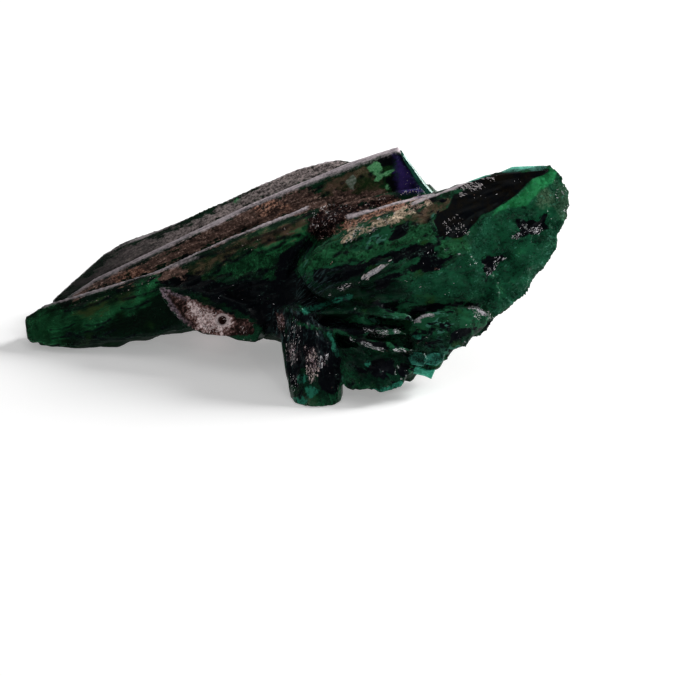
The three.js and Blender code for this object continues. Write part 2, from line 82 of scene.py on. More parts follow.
# Zones of the side towards the viewer, as outlines drawn in "across,up".
ZONES = {
    "haze": """
    -43.6,17.5 -40.9,20 -37.6,21.8 -35.8,24.1 -33.3,26.1 -29.7,27.2 -25.1,28.7 -20.8,30.4 -17.8,31.8
    -14.9,34 -10.4,36.3 -6.6,38.1 -1.9,39.9 1.2,40.6 3.6,40.7 4.8,40.2 1.7,38.9 -3.3,36.8 -12,33
    -19.1,29.2 -23.4,27.1 -31.2,23.3 -37.5,20.6 -41.1,19
    """,
    "brown": """
    -40.9,17.8 -37.5,20.5 -31.7,22.1 -25.2,25.6 -19.1,29 -12,32.7 -3.3,36.1 1.7,34.3 4.1,33.3 2.3,33.2
    -2,32 -8.4,30.4 -14.5,27.9 -20.6,25.4 -26.7,22.6 -32.2,20.5;
    -26.4,22 -23.5,22.8 -22.4,22.2 -24.4,21 -26.1,20.9;
    -1.9,34.3 3.3,35.6 6.6,35.2 9.9,34.8 12.3,34.6 12.3,33.8 7.5,33.1 0.5,32.4
    """,
    "rust": """
    -11.2,31.8 -9.9,33.3 -7.4,34 -5.3,33.3 -6.3,32.3 -9.2,31.5;
    2.2,28.5 3.9,30 5.1,30.6 8.8,32.1 12.1,33.3 15.8,34.6 17.6,34.3 16.4,33.3 13.4,32.1 9.7,31.2 6.6,30
    5.1,28.8 2.7,28.5;
    -34.8,21.2 -32.5,22.5 -29.9,22.5 -28.6,21.9 -31.2,20.9 -33.8,20.2
    """,
    "cream": """
    3.3,27.2 5.1,28.8 8.2,29.7 12.1,31.5 14.6,32.4 16.4,33 17.6,33.7 18.2,33 16.4,32.1 14.6,31.2 12.1,30
    9.7,29.4 7.3,28.5 5.1,27.2 3.6,26.6
    """,
    "olive": """
    -1.3,34 1.7,36.6 4.3,38 7.3,39.4 10.1,37.1 10.6,35.3 8.6,34.3 5.3,33.7 1.7,33.2;
    -40.8,15.2 -38,16.7 -34.3,17.7 -31.2,19 -31.2,17.7 -34.6,16 -37.6,14.9 -39.9,14.4;
    -11.6,26.7 -9.6,28.4 -5.8,29.9 -3.1,30.7 -2.6,29.7 -5,27.7 -8.6,26.2;
    -21.5,22.5 -18.2,24.5 -15.6,26.1 -10.4,28.1 -5.8,29 -7.1,27.7 -12,26.1 -15.3,24.5 -18.2,22.5
    -20.8,21.2;
    12.1,30.3 14.6,31.2 17.6,33 21.3,33.7 21,32.4 19.2,31.5 18.5,30.3 14.6,30.3
    """,
    "dust": """
    -26.7,19.5 -25.2,19.3 -22.4,18 -19.1,16.7 -15.5,15.2 -13,14.4 -11.2,13.7 -10.6,12.2 -10.9,11.4
    -13.7,11.4 -15.7,11.1 -18.5,11.6 -20.8,12.7 -23.1,14 -24.8,16.3 -26.2,18.5;
    -7.3,15.2 -6.1,14.7 -5.6,12.4 -6.4,11.9
    """,
    "bloom": """
    -2.6,9.9 -1.1,9.5 -0.1,7.4 -0.3,5.2 -1.4,3.6 -2.1,5.2 -2.3,7.1;
    -5.4,9.4 -4.5,10.4 -3.7,9.9 -3.7,8 -4.7,7.1 -5.5,7.7;
    -0.1,7.8 1.2,8.4 1,6.9 0.1,6.2;
    -7,14.9 -6.2,15 -5.9,13.7 -6.5,12.7 -6.9,13.5
    """,
    "powder": """
    -22.8,17.8 -19.8,16.8 -17.2,15.3 -14.9,15 -14.4,13 -16.2,11.7 -18.9,11.4 -20.6,13.2 -22.1,15.6
    """,
    "dark": """
    -26.5,21.2 -24.7,21.2 -22.4,21.5 -20.2,21.2 -18.2,20.9 -15.6,20.2 -10.4,20.6 -7.4,20.9 -7.1,22.5
    -6.8,24.5 -3.8,26.7 -1.6,27.4 -0.6,26.4 -2.9,25.1 -3.8,22.5 -3.8,19.2 -3.2,17.3 -6.1,16 -6.5,11.7
    -9.1,11.7 -11,14.4 -14.9,16 -20.2,18.6 -23.7,19.6 -26.3,19.7;
    -24.1,23.8 -22.6,25.6 -20.1,26.2 -21.1,24.6 -22.9,23.4;
    -4.8,34.5 -3.3,35.8 -1.2,36.1 -2.3,34.8 -4,34.2;
    10.1,41.4 12,42.4 12.9,41.6 12.2,39.4 10.6,39.1 9.6,40.4;
    10.9,37.6 12.4,38.6 13,36.5 13.5,35.1 12,35.3 10.9,36.5;
    -1,22.4 0.5,22.7 4.2,23 7.3,23.7 10.9,25 11.7,24.7 10.3,23.7 8.2,22.7 6,21.1 4.2,20.4 0.2,19.8
    -1.3,20.5;
    11.7,25.1 13.4,25.7 15.2,26.5 17.6,26.6 19,26.3 19.3,24.2 20.4,24.2 22.5,25.1 23.4,25.4 21.9,24.2
    19.5,22.7 17.3,21.9 14.9,22.4 14.6,23 16.4,23.6 16.4,24.2 14,23.9 12.1,23.4 11.7,24.2;
    11.4,27.1 12.3,28.5 13.4,29.7 14.9,30.6 14.6,29.1 13.4,27.6 11.8,26.8;
    14.9,15.3 16.4,16.4 19.5,16.9 23.1,17 25.9,16.9 27.4,16 25.9,16.1 23.4,16.4 21,16.1 17.6,15.2
    16.1,14.9 15.2,14.1;
    -5,16.3 -3.1,15.3 -0.4,15 2.7,14.4 6.6,13.2 10.9,13.5 14,13.2 14.6,12.6 12.1,12.4 7.9,12.3 6.6,11.4
    4.2,12 1.2,12.6 -1.9,13.5 -3.1,13.2 -5,14.4;
    4.2,11.4 6.6,10.8 10.9,10.2 14.6,9.2 10.9,9.2 7.3,9.9 4.5,10.5;
    7.9,7.7 10.3,8 12.1,7.1 12.1,5 10.3,4.1 8.2,5 7.6,6.2;
    13.1,7.1 14.6,6.8 14.6,5.3 13.4,4.4 12.6,5.6;
    14.9,11.7 17,12.3 20.4,12.9 21.3,12.3 18.2,11.4 16.4,10.8;
    21.9,11.7 23.4,12.9 25.6,12.8 23.7,11.4 22.2,10.2 21,9.9;
    32.5,30.7 34.1,30.2 34.8,30.7 35.9,30.4 36.7,31.7 37.6,32.1 37.6,31 37.2,30.2 37.6,29.5 36.7,28.6
    35.6,28.1 34.5,28.1 33.4,27.7 31.7,27.4 31.9,28.1 32.8,28.8 32.5,29.5;
    26.8,23.9 27.7,24.8 30.1,24.7 30.4,23.6 28.9,22.7 28,21.4 27.4,20.5 26.9,22.4;
    -5,22.7 -3.1,21.1 -1.3,19.6 -2.5,16.9 -5,16.3;
    9.1,20.2 10.3,21.1 12.1,21.8 14,21.8 12.1,20.5 10.3,19.3 9.4,19;
    8.5,16.9 12.1,17.2 13.4,16.9 12.1,15 9.7,16.3;
    -1.6,30.6 0.5,32.4 3,33.3 5.1,33 8.5,34 13.4,34.9 12.1,33.5 8.2,32.3 5.1,30.9 2.7,29.4 2.1,28.2
    -0.1,27.6 -1.9,28.5;
    -5.9,14 0.3,12 3,8.7 3.8,4.5 2.6,1.5 0.7,2.1 -1,5.4 -3,6.1 -3.6,2.8 -5.3,3.5
    """,
    # painted glow where light shines through the crystal
    "glow": """
    -21.1,21.2 -18.2,23.8 -13.6,27.1 -10.4,28.4 -5.5,29 -2.5,30.7 -2.2,28.1 -4.5,26.4 -7.1,24.8 -7.8,22.5
    -7.8,20.9 -9.7,21.2 -12,20.9 -15.3,21.2 -18.2,21.2;
    -3.3,23 -2.2,24.2 -0.4,25.7 2.7,26.9 3.9,26.9 5.1,25.4 7.3,25.4 11.2,26.6 11.7,25.4 7.3,23.9 2.4,23
    -1,21.9 -2.8,22.1;
    4.2,27.1 7.9,26.6 11.5,27.2 13.4,29.4 14.6,30.3 18.2,30.3 19.2,28.8 18.5,27.2 16.4,26.8 14,26
    11.5,25.3;
    19.2,26.6 21.9,27.2 24.3,27.2 25,25.4 23.4,25.4 21,24.2 19.5,24.2
    """,
    "fracture": """
    39,38.1 41.7,34.9 41.4,31.5 40.1,29.4 39.5,26.6 37.8,24.2 36.9,21.8 34.4,18.1 28.6,14.9 27.4,16.3
    25.6,17.2 19.5,17.5 16.4,18.1 14,19.3 16.4,21.1 21,22.7 23.4,25.1 25.3,26.6 25.6,29.4 26.8,31.2
    30.1,33 33.5,35.8 35.3,37.3 37.8,38.3
    """,
    "teal": """
    -4,4.4 -3.1,5.4 -1.9,4.8 -2.2,4.1 -3.1,3.4;
    -2.5,2.8 -1.6,3.4 -0.1,2.5 -0.7,1.3 -1.9,1;
    -5,1 -3.1,1.6 -1.9,0.8 -3.1,-0.5 -5,-0.5;
    -3.4,16.1 -1.3,16.3 1.2,17.2 5.4,18.4 5.7,17.9 2.4,16.6 -0.4,15.7 -2.5,15;
    1.2,12 1.9,11.7 2.5,10.5 2.7,9.4 3.1,8.1 2.8,8.2 2.2,9.5 2,10.4 1.4,11.3;
    7.3,6.8 8.2,7.7 8.5,7.4 7.9,6.2;
    8,3.2 9.6,2.8 11,2.8 12.5,3.6 13.5,4.3 13.9,3.6 12.9,2.6 10.7,1.9 8.5,2.5;
    15.2,11.4 16.4,11.7 18.2,12 17.6,11.4 16.1,11.1
    """,
    "ash": """
    -0.9,18.5 -0.7,17.5 2.1,18.2 4.5,19.1 5.2,20.2 2.1,19.5;
    39,36.9 40.1,35.9 41,35.4 41.5,34.9 41.4,31.7 40.5,31.1 39.6,31.7 39.2,33.6 38.9,35.2;
    35.9,35 37,35.4 38.5,35 38.9,33.9 37.8,32.8 36.3,32.5 35.4,33;
    -4.1,2 -2.8,2.2 -1,1.4 -1,0 -2.5,-0.3 -4.3,0.5
    """,
    "pane": """
    4.2,36.9 5.4,38.1 6.2,37.2 5.5,36.2 5.8,35 5,35.8
    """,
    "veil": """
    38.9,29.8 40.1,28.2 38.9,25.6 37.5,23.5 37.2,21.3 34.4,18 31.6,16.1 29.1,14.4 28.3,15.4 31,17.3
    33.7,19.9 35.7,22.7 36.9,25.6 37.7,27.9;
    25.6,29.4 27.1,30.9 28.9,30.3 28.3,27.9 27.4,24.8 26.8,23.9 27.4,19.6 25.9,20.5 25,24.2 24.3,27.2;
    -1,18.2 1.2,18.9 4.2,19.9 5.6,20.2 4.2,19.3 1.8,18.1 -0.4,17.5;
    39,37.2 41.6,35 41.4,31.8 39.8,31.5 38.7,34 37.8,35.5
    """,
    "white": """
    6.9,20.8 7.9,21.8 9.6,22.8 11.7,23.9 11.6,23.4 9.7,22.1 7.9,20.8;
    15.2,13.7 15.8,14.5 17.5,14.9 18.6,14.9 17.2,14.2 16,13.5;
    23.4,16.2 25.4,16.3 27.1,15.5 27.7,14.7 26.7,15 25.4,15.8
    """,
    "violet": """
    12.1,41.6 13.5,41.4 14.8,39.7 16,37.6 17,35.7 16.6,34.5 14.9,34.8 13.2,34.8 12.7,36.7 12.4,39
    """,
    "wine": """
    -1.6,30.6 0.5,32.1 3,33.2 5.4,33 8.5,33.8 13.4,34.7 12.1,33.3 8.2,32.1 5.1,30.8 2.7,29.1 1.8,27.9
    -0.4,27.2 -1.9,28.8;
    -34.3,20.5 -32.3,21.9 -30,22.4 -29.5,21.8 -31.7,20.6;
    -14.5,13 -12.2,13.7 -10.6,12.4 -11.6,11.4 -13.9,11.7
    """,
    # painted glow where light shines through the thin tip
    "tip": """
    -42.9,14.7 -36.3,16.7 -29.7,18.6 -28.1,17.3 -33,14.7 -39.6,12.4 -42.6,11.7;
    -48.3,14.4 -45.5,15.8 -42.6,15.3 -41.9,11.7 -43.9,9.9 -47.2,9.9 -48.2,11.7;
    -29.7,20.3 -26.7,21.3 -26.6,19.5 -28.1,17.3 -29.7,18;
    -12.5,26.7 -9.6,28.2 -5.6,29.5 -3.1,30.5 -2.8,28.5 -5,27.2 -8.6,25.6
    """,
    "pale": """
    7.8,39.2 9,40.3 9.9,40.2 10.4,39 10.6,38.1 9.7,36.9 8.7,36.9 9.4,37.8 8.5,38.3;
    10.5,38.5 12.3,39 12.4,38.5 10.8,37.8;
    10.6,36.2 11.3,36.7 11.7,35.9 11.1,35.5;
    -14.5,33.8 -13.9,34.6 -13,34 -13.9,33.2 -14.9,33.2
    """,
    "face": """
    21.9,34.6 25.9,36.4 30.1,37.9 34.1,38.4 37.8,38.8 37.2,38.1 35,37.3 33.8,36.1 32.3,34.6 30.1,33.2
    28,31.8 26.5,31.2 25.6,30 24.3,28.5 23.4,27.6 21.9,27.4 19.5,28.2 18.7,30.3 19.2,31.5 21,32.4
    21.6,33.7
    """,
    "lime": """
    37.4,38.9 38.7,39 39,37.8 38.3,36.9 37.2,36.3 35.9,35 35,33.9 33.9,32.5 32.8,32.8 30.8,32.5 28.6,31.4
    29.5,32.5 33,34.8 34.1,36.1 35,37.4 37,38.1
    """,
    # painted shade: the lower parts of the fan and the foot, under the wedge
    "deep": """
    -2.1,21.1 4.5,23 10.6,21.6 14.9,19.7 14.9,17.3 9.2,15.4 2.1,13.6 -2.1,14.5 -3.1,17.3;
    14.6,10.8 16.4,11.4 21.3,12 25.6,12.3 24.3,10.5 21.9,9.2 16.4,8.6 14.6,9.2;
    3.3,10.2 14.6,8.6 14.9,3.1 10.3,1.9 7.3,3.1 3.6,6.2;
    5.4,22.7 9.7,23 11.5,23.9 12.4,22.7 9.1,20.5 5.7,19;
    -7.4,14.4 3.9,11.4 3,4.1 1.2,0.8 -7.4,0.8
    """,
}

# The wedge and the front foot, where the crystals have a grain of their own.
WEDGE_FIELD = [
    (-4, 26), (3, 29), (9.6, 31.5), (15.5, 34), (24, 37.4), (36, 41), (46, 44), (46, -3), (4, -3), (3, 12),
    (-4, 15),
]
FOOT_FIELD = [
    (-8, 16), (-1, 16.5), (3, 12), (4, 6), (5, -4), (-8, -4),
]

# Ridges that are worn to a frosted line, as half width and points in [across, into, up].
RIDGES = [
    (1.25, [(-41.4, 27, 18.3), (-37.5, 26.7, 21), (-12, 22.4, 33.2), (4.6, 19.9, 40.1), (12.9, 18.7, 42.8)]),
    (1.5, [(2, 20.4, 38.9), (8, 19.4, 40.9), (12.9, 18.7, 42.5)]),
    (0.8, [(-45.6, 20, 16.6), (-29.8, 18, 21.4), (-14.5, 15.2, 28), (-2.6, 13.6, 32.7)]),
    (0.8, [(-29.8, 18, 21.4), (-20, 16.4, 24.2)]),
    (0.6, [(4.8, 11.6, 31), (12, 11, 33.4), (18.6, 10.6, 34.8)]),
    (0.5, [(15.3, 9.6, 33.3), (24.2, 11, 36.6), (30, 11.6, 38.3)]),
    (0.5, [(-44.9, 29.5, 17.2), (-36.4, 33, 24.9), (-19, 31, 32), (-3.4, 28, 39.5), (2.9, 26.9, 40.9)]),
]

# Clusters of small slivers: how many on a square millimetre, their turn in degrees and how far they
# stray from it, the longest one, their tint (0 white, 1 rusty), and an outline in "across,up".
CLUSTERS = [
    (11, 20, 60, 0.6, 0.35,  # brown wedge, its middle
     "-22.4,18 -19.8,16.8 -17.2,15.3 -14.9,15 -14.7,12.7 -16.8,11.6 -19,12.2 -20.1,14.4 -21.8,16"),
    (9, -50, 25, 0.6, 0.2,  # its left rim
     "-26.7,19.3 -25.7,18.8 -24.4,16.5 -22.9,14.4 -21.1,12.9 -22.1,13.2 -24.4,15.5 -26.2,18.2"),
    (5, 0, 60, 0.5, 0.5,  # its right end
     "-13.9,14.7 -11.2,13.7 -10.4,11.9 -12.2,11.2 -14.2,11.9"),
    (5, 0, 40, 0.45, 0.3,  # its lower rim
     "-19.8,12.4 -17.5,11.4 -14.5,11.1 -10.9,11.4 -10.9,10.7 -15.5,10.6 -18.8,11.4"),
    (26, 80, 14, 0.6, 0.35,  # foot, left
     "-5.6,9.9 -4.7,11 -3.6,10.2 -3.6,7.4 -4.7,6.6 -5.8,7.4"),
    (30, 86, 14, 0.6, 0.55,  # foot, middle
     "-2.6,9.9 -1.1,9.5 0,7.1 -0.1,5.2 -1.4,3.6 -2.2,5.2"),
    (34, 70, 10, 0.7, 0.05,  # foot, right
     "-0.3,8 1.4,8.5 1.2,7.1 0.3,6.1 -0.3,6.6"),
    (9, 75, 20, 0.45, 0.2,  # foot, top
     "-5.6,14.3 -3.8,14.3 -3,12.7 -3.3,10.2 -5.2,10.2 -6.1,12.1"),
    (8, 80, 20, 0.5, 0.15,  # foot, low
     "-5.2,6.6 -3.8,6.6 -3.6,2.5 -4.5,2.2 -5.1,4.1"),
    (6, 85, 20, 0.45, 0.1,  # foot, right side
     "1.1,6.6 2.8,6.9 3.3,5.2 2.2,4.1 1.1,5.2"),
    (6, 20, 40, 0.55, 0.2,  # where the ridges end
     "-3.3,31.5 2.3,33.5 5.6,33 4.6,31 1.7,29.9 -1.3,28.9"),
    (3, 20, 60, 0.5, 0.7,  # below it
     "-0.7,29.5 2.3,30.2 4.3,31.2 3.6,28.5 1.3,27.2 -1.3,27.9"),
    (9, 60, 70, 0.26, 0.4,  # beside the violet
     "13.9,40 15.1,38.1 16.5,35.9 17.2,34.7 13.4,34.7 13.2,36.2 14.4,36.7"),
    (5, 17, 30, 0.6, 0.5,  # prism's foot
     "6.6,33 11.2,34.5 15.2,35.5 18.2,35.1 17.8,34.3 13.2,33.3 8.6,32.2"),
    (15, 27, 30, 0.6, 0.25,  # wedge ridge
     "3,26.7 4.6,28.5 7.9,30.2 11.9,31.7 13.7,32.5 13.5,31.2 11.9,30.2 8.6,28.4 5.3,26.9"),
    (18, 27, 30, 0.55, 0.95,  # orange band
     "12.7,31.8 14.5,33.2 17.5,34.3 18.3,33.7 15.8,32 13.5,31.2"),
    (13, 22, 30, 0.5, 0.85,  # pink band
     "4.3,29.9 8.6,32 13.4,33.2 13.2,32.3 8.6,30.9 5.3,28.9"),
    (10, 30, 60, 0.4, 0.2,  # behind the striated face
     "20.1,30.2 22.4,31.5 25.1,30.5 24.8,28.2 22.4,27.6 20.8,27.9"),
    (26, -33, 6, 0.9, 0.25,  # hatching on the striated face
     "23.1,35.9 25.1,36.8 27.3,37.5 29.2,37.9 29.2,36.9 27.3,35.8 25.1,35.2 23.1,34.3"),
    (0.4, 30, 60, 0.4, 0.1,  # striated face
     "24.8,35.5 29.7,37.5 34.3,37.8 31,34.5 26.4,32.5 23.4,32.5"),
    (26, 25, 25, 0.55, 0.03,  # upper hackle
     "32.6,29.5 33.4,30.1 35,29.3 35.9,29.5 37.4,31 37.8,29.5 36.7,28.4 35.6,28 34.1,27.6 31.4,27.2 "
     "31.7,27.9 33,28.6"),
    (20, 40, 25, 0.55, 0.03,  # lower hackle
     "27.1,23.6 28.7,24.4 30.9,24.4 30,23.1 28.4,22.1 27.6,20.8"),
    (7, -60, 40, 0.45, 0.05,  # broken rim
     "38.3,37.8 39.9,36.8 41.4,35.1 41.4,32 40.3,31.8 38.9,34.5"),
    (22, -30, 25, 0.4, 0.1,  # lens tip
     "24.8,16.3 27.4,15.8 28.7,14.4 27.1,13.4 25.4,14.5"),
    (46, 4, 16, 0.42, 0.05,  # upper spindle
     "7.1,12.8 9.4,12.4 11.6,12.4 13.2,12.8 13.5,12 11,11.1 8.2,11.1 7.3,11.8"),
    (50, -14, 12, 0.55, 0.02,  # lower spindle
     "4.8,11.3 6.6,10.7 8.8,10 11,9.4 13.8,9.5 15,8.9 13.2,8.7 10.7,8.7 8.2,9.4 5,10.7"),
    (6, 60, 60, 0.5, 0.1,  # lump
     "12.2,6.4 13.9,6.9 14.7,5.4 13.5,4.1 12.2,4.6"),
    (10, 38, 10, 1.4, 0.35,  # white strip
     "5.9,20.3 7.3,21.4 9.6,22.9 11.7,23.9 11.6,23.3 9.7,21.9 7.9,20.5 6.3,20"),
    (16, 18, 12, 0.7, 0.15,  # olive strip
     "-0.9,18.4 -0.6,17.5 2.1,18.2 4.5,19.1 5.2,20.2 2.1,19.5"),
    (5, 22, 10, 0.9, 0.05,  # ledge
     "15.2,13.5 15.8,14.5 18.2,15 21.1,15.5 18.8,14.5 17,13.9"),
    (26, -75, 20, 0.5, 0.3,  # rim at the foot's left
     "-7,14.9 -6.1,15 -5.8,13.7 -6.3,12.4 -6.9,13.5"),
    (1.6, 20, 40, 0.4, 0.6,  # under the third ridge
     "-40.9,16.7 -37,18 -31.4,19.6 -26.7,21.6 -26.7,20.8 -31.4,18.6 -36.6,17 -40.3,15.7"),
    (1.2, 20, 50, 0.4, 0.6,  # arm's shoulder
     "-13.9,26.2 -9.6,28.2 -3.3,30.7 -2.3,29.2 -6.6,27.2 -11.6,25.2"),
    (0.25, -15, 30, 0.45, 0.1,  # dark middle
     "-19.1,20.6 -6.6,19.6 -3.3,17.3 -6.6,14 -11.6,15.3 -17.5,18"),
    (2.5, 10, 50, 0.35, 1,  # green slab
     "-0.3,23.6 3.3,24.3 3.6,23.6 1,22.4 -0.3,22.6"),
    (0.35, 20, 30, 0.5, 0.1,  # wedge
     "13.2,25.6 24.8,27.2 25.7,19 16.5,17.3 11.6,19"),
    (0.35, 15, 30, 0.5, 0.1,  # lens
     "16.5,13.2 24.8,14.4 26.4,13 19.8,10.1 15.2,10.1"),
]
THINNEST = 0.035  # half width of the thinnest sliver
EYE = 80  # how far in front of the cluster the rays start that seat the slivers

# Plates that are grown onto the cluster: name, look, nearest and farthest depth, outline in "across,up".
PLATES = [
    ("fin", "cloudy_rim", 11.0, 12.2,
     "22.9,36.2 25.1,37.1 27.3,37.9 29.2,38.2 29.9,38.5 31.7,39.3 34.1,39.4 36.9,39.5 37.8,39.3 "
     "38.6,38.8 38.3,37.8 35.9,37.6 32.3,37 28.6,36.5 23.1,35.2"),
    ("crest", "striated_black", 10.5, 11.4,
     "22.7,35.9 25.1,36.9 27.3,37.6 29.3,38.1 30.4,38.3 31.7,38.4 34.1,38.5 35.9,38.6 37.2,38.8 37.7,39 "
     "37.6,38.5 36.7,37.8 34.1,37 30.4,35.8 26.8,34.8 23.1,34.1"),
    ("end_plate", "dark_plate", 16.5, 18.2,
     "13.2,42.1 13.9,41.4 15.5,39.3 17.3,36.7 18.9,34.9 18.6,34.3 17.7,34.5 16.5,35.9 15.2,38.2 "
     "13.9,40.3"),
    ("plate_1", "clear_plates", 1.8, 4.5,
     "14.4,7.9 15.5,8.7 17.2,8.6 17.8,7.6 17,6.4 15,6.6"),
    ("plate_2", "clear_plates", 2.0, 4.8,
     "16.8,8.1 18.8,8.7 20.5,8.4 20.3,7.3 19.1,6.4 17.2,6.8"),
    ("plate_3", "bright_plate", 2.1, 4.4,
     "14.7,6.6 16.2,6.4 17.5,5.8 19,5.9 18.3,4.3 17.2,4.8 15,5.3"),
]

# How far the grain of the surface shifts each zone's outline, and how soft its edge is.
EDGES = {
    "haze": (0.8, 0.12), "brown": (1.2, 0.08), "rust": (1.0, 0.1), "cream": (0.7, 0.08),
    "olive": (1.0, 0.2), "dust": (0.35, 0.04), "bloom": (0.8, 0.3), "dark": (0.55, 0.04),
    "glow": (0.5, 0.08), "fracture": (0.7, 0.06), "teal": (0.3, 0.04), "ash": (0.8, 0.25),
    "pane": (0.1, 0.04), "veil": (0.6, 0.15), "white": (0.3, 0.04), "violet": (0.6, 0.25),
    "wine": (1.0, 0.15), "tip": (1.0, 0.35), "pale": (0.15, 0.04), "face": (0.1, 0.04),
    "lime": (0.35, 0.1), "deep": (0.8, 0.3),
}

# Colours are linear red, green and blue. A pair of tones is what one of the noises goes between.
TONES = {
    "clear": ((0.003, 0.02, 0.009), (0.02, 0.145, 0.065)),
    "fracture": ((0.002, 0.02, 0.01), (0.018, 0.165, 0.075)),
    # the glow and the tip are painted glow of light through the crystal
    "glow": ((0.003, 0.03, 0.01), (0.05, 0.31, 0.12)),
    "tip": ((0.015, 0.18, 0.055), (0.075, 0.58, 0.21)),
    "ash": ((0.01, 0.04, 0.02), (0.15, 0.25, 0.15)),
    "veil": ((0.008, 0.08, 0.042), (0.07, 0.28, 0.17)),
    "ochre": ((0.06, 0.1, 0.03), (0.2, 0.13, 0.085)),
    "lime": ((0.01, 0.16, 0.045), (0.05, 0.5, 0.17)),
    "pale": ((0.07, 0.42, 0.15), (0.36, 0.88, 0.44)),
    "pane": ((0.16, 0.24, 0.17), (0.6, 0.68, 0.58)),
    "teal": ((0.003, 0.035, 0.022), (0.035, 0.28, 0.18)),
    "black": ((0.0025, 0.003, 0.005), (0.05, 0.1, 0.1)),
    "earth": ((0.028, 0.017, 0.015), (0.21, 0.125, 0.1)),
    "wine": ((0.016, 0.006, 0.006), (0.6, 0.34, 0.3)),
    "rust": ((0.06, 0.022, 0.015), (0.85, 0.45, 0.32)),
    "cream": ((0.08, 0.06, 0.035), (0.8, 0.63, 0.46)),
    "haze": ((0.025, 0.021, 0.022), (0.21, 0.172, 0.172)),
    "powder": ((0.012, 0.007, 0.006), (0.17, 0.09, 0.08)),
    "ridge": ((0.34, 0.28, 0.32), (0.98, 0.86, 0.9)),
    "bloom": ((0.14, 0.055, 0.05), (0.85, 0.66, 0.74)),
    "violet": ((0.008, 0.006, 0.03), (0.045, 0.026, 0.155)),
    "white": ((0.06, 0.065, 0.08), (0.6, 0.57, 0.6)),
    "light_grain": ((0.95, 0.94, 0.97), (0.78, 0.48, 0.4)),
    "dull_grain": ((0.16, 0.17, 0.19), (0.14, 0.07, 0.055)),
    "cloudy_rim": ((0.16, 0.62, 0.46), (0.28, 0.9, 0.7)),
    "bright_plate": ((0.04, 0.38, 0.24), (0.1, 0.6, 0.42)),
    "dark_plate": ((0.004, 0.05, 0.034), (0.03, 0.2, 0.14)),
    "clear_plates": ((0.005, 0.055, 0.035), (0.05, 0.32, 0.23)),
    "striated_black": ((0.0025, 0.003, 0.005), (0.008, 0.006, 0.004)),
}
COLOURS = {
    "moss": (0.025, 0.09, 0.02),
    "light_flake": (0.1, 0.34, 0.25),
    "mud": (0.025, 0.045, 0.016),
    # the painted shade of the fan's lower parts
    "deep": (0.001, 0.008, 0.006),
    "face": (0.008, 0.006, 0.004),
    # the painted shade of faces that turn downward
    "underside": (0.002, 0.012, 0.006),
    "scratch": (0.1, 0.42, 0.27),
    "earth_grain": (0.75, 0.5, 0.42),
    "haze_grain": (0.85, 0.7, 0.68),
    "haze_rust": (0.7, 0.52, 0.45),
    # the painted shade at the haze's left end
    "haze_left_shade": (0.01, 0.01, 0.012),
    "powder_grain": (0.95, 0.78, 0.78),
    "dust_rim": (0.36, 0.28, 0.34),
    "pit_rim": (0.6, 0.5, 0.5),
    "pit": (0.03, 0.012, 0.01),
    # the painted shade at the ridges' left end
    "ridge_left_shade": (0.03, 0.025, 0.03),
    "violet_grain": (0.3, 0.14, 0.2),
    "frost": (0.16, 0.33, 0.26),
    # the colour of the painted glints
    "spots": (0.6, 0.55, 0.55),
    "gloss": (0.1, 0.13, 0.12),
    "plate_gloss": (0.2, 0.26, 0.24),
}
AXINITE_IOR = 1.68
# How clear the plates of each look are between their veils.
CLEARNESS = {"cloudy_rim": 0.75, "bright_plate": 0.5, "dark_plate": 0.1, "clear_plates": 0.75}


def outlines(text):
    """Outlines from spots written as "across,up", with a semicolon between one outline and the next."""
    return [[tuple(map(float, spot.split(","))) for spot in line.split()] for line in text.split(";")]


def to_view(points):
    """[across, into, up] of places in the shared frame."""
    x, y, z = (points - (FOOT_X, FOOT_Y, 0)).T
    sin, cos = math.sin(LEAN), math.cos(LEAN)
    return np.stack([x, y * cos - z * sin, y * sin + z * cos], axis=1)


def to_frame(points):
    """The shared frame's [x, y, z] of places in the view."""
    across, into, up = np.asarray(points, float).T
    sin, cos = math.sin(LEAN), math.cos(LEAN)
    y = up * sin + into * cos
    z = up * cos - into * sin
    return np.stack([across + FOOT_X, y + FOOT_Y, z], axis=1)


def way_in_frame(across, into, up):
    """A direction of the view, in the shared frame."""
    return Vector(to_frame([[across, into, up]])[0] - to_frame([[0, 0, 0]])[0])


def unit(values):
    """The values, kept between 0 and 1."""
    return np.clip(values, 0, 1)


def fade(distance, width, full=1):
    """1 close by, and 0 from as many widths away as full says. It falls over the last width."""
    return unit(full - distance / width)


def scatter(cells, seed):
    """Pseudo-random numbers from 0 to 1, one for each whole-numbered cell."""
    mixed = np.bitwise_xor.reduce(cells.astype(np.int64) * PRIMES, axis=-1)
    mixed = (mixed ^ (seed * SEED_PRIME)) & LOW_BITS
    for _ in range(2):
        mixed = ((mixed ^ (mixed >> 16)) * MIXER) & LOW_BITS
    return (mixed ^ (mixed >> 16)) / LOW_BITS


def noise(points, seed):
    """Smooth noise from -1 to 1 with one bump for each unit of length."""
    base = np.floor(points)
    part = points - base
    ease = part * part * (3 - 2 * part)
    total = 0
    for corner in itertools.product((0, 1), repeat=3):
        weight = np.prod(np.where(corner, ease, 1 - ease), axis=1)
        total = total + weight * scatter(base + corner, seed)
    return total * 2 - 1


def facets(points, seed):
    """A broken surface: each cell, about a unit wide, is flat, with a height and a tilt of its own."""
    base = np.floor(points)
    best = np.full(len(points), np.inf)
    height = np.zeros(len(points))
    for step in itertools.product((-1, 0, 1), repeat=3):
        cell = base + step
        middle = cell + np.stack([scatter(cell, seed + n) for n in (1, 2, 3)], axis=1)
        away = points - middle
        distance = (away**2).sum(axis=1)
        tilt = np.stack([scatter(cell, seed + n) for n in (4, 5, 6)], axis=1) * 2 - 1
        value = 0.5 * (scatter(cell, seed + 7) * 2 - 1) + 0.8 * (away * tilt).sum(axis=1)
        height = np.where(distance < best, value, height)
        best = np.minimum(distance, best)
    return height


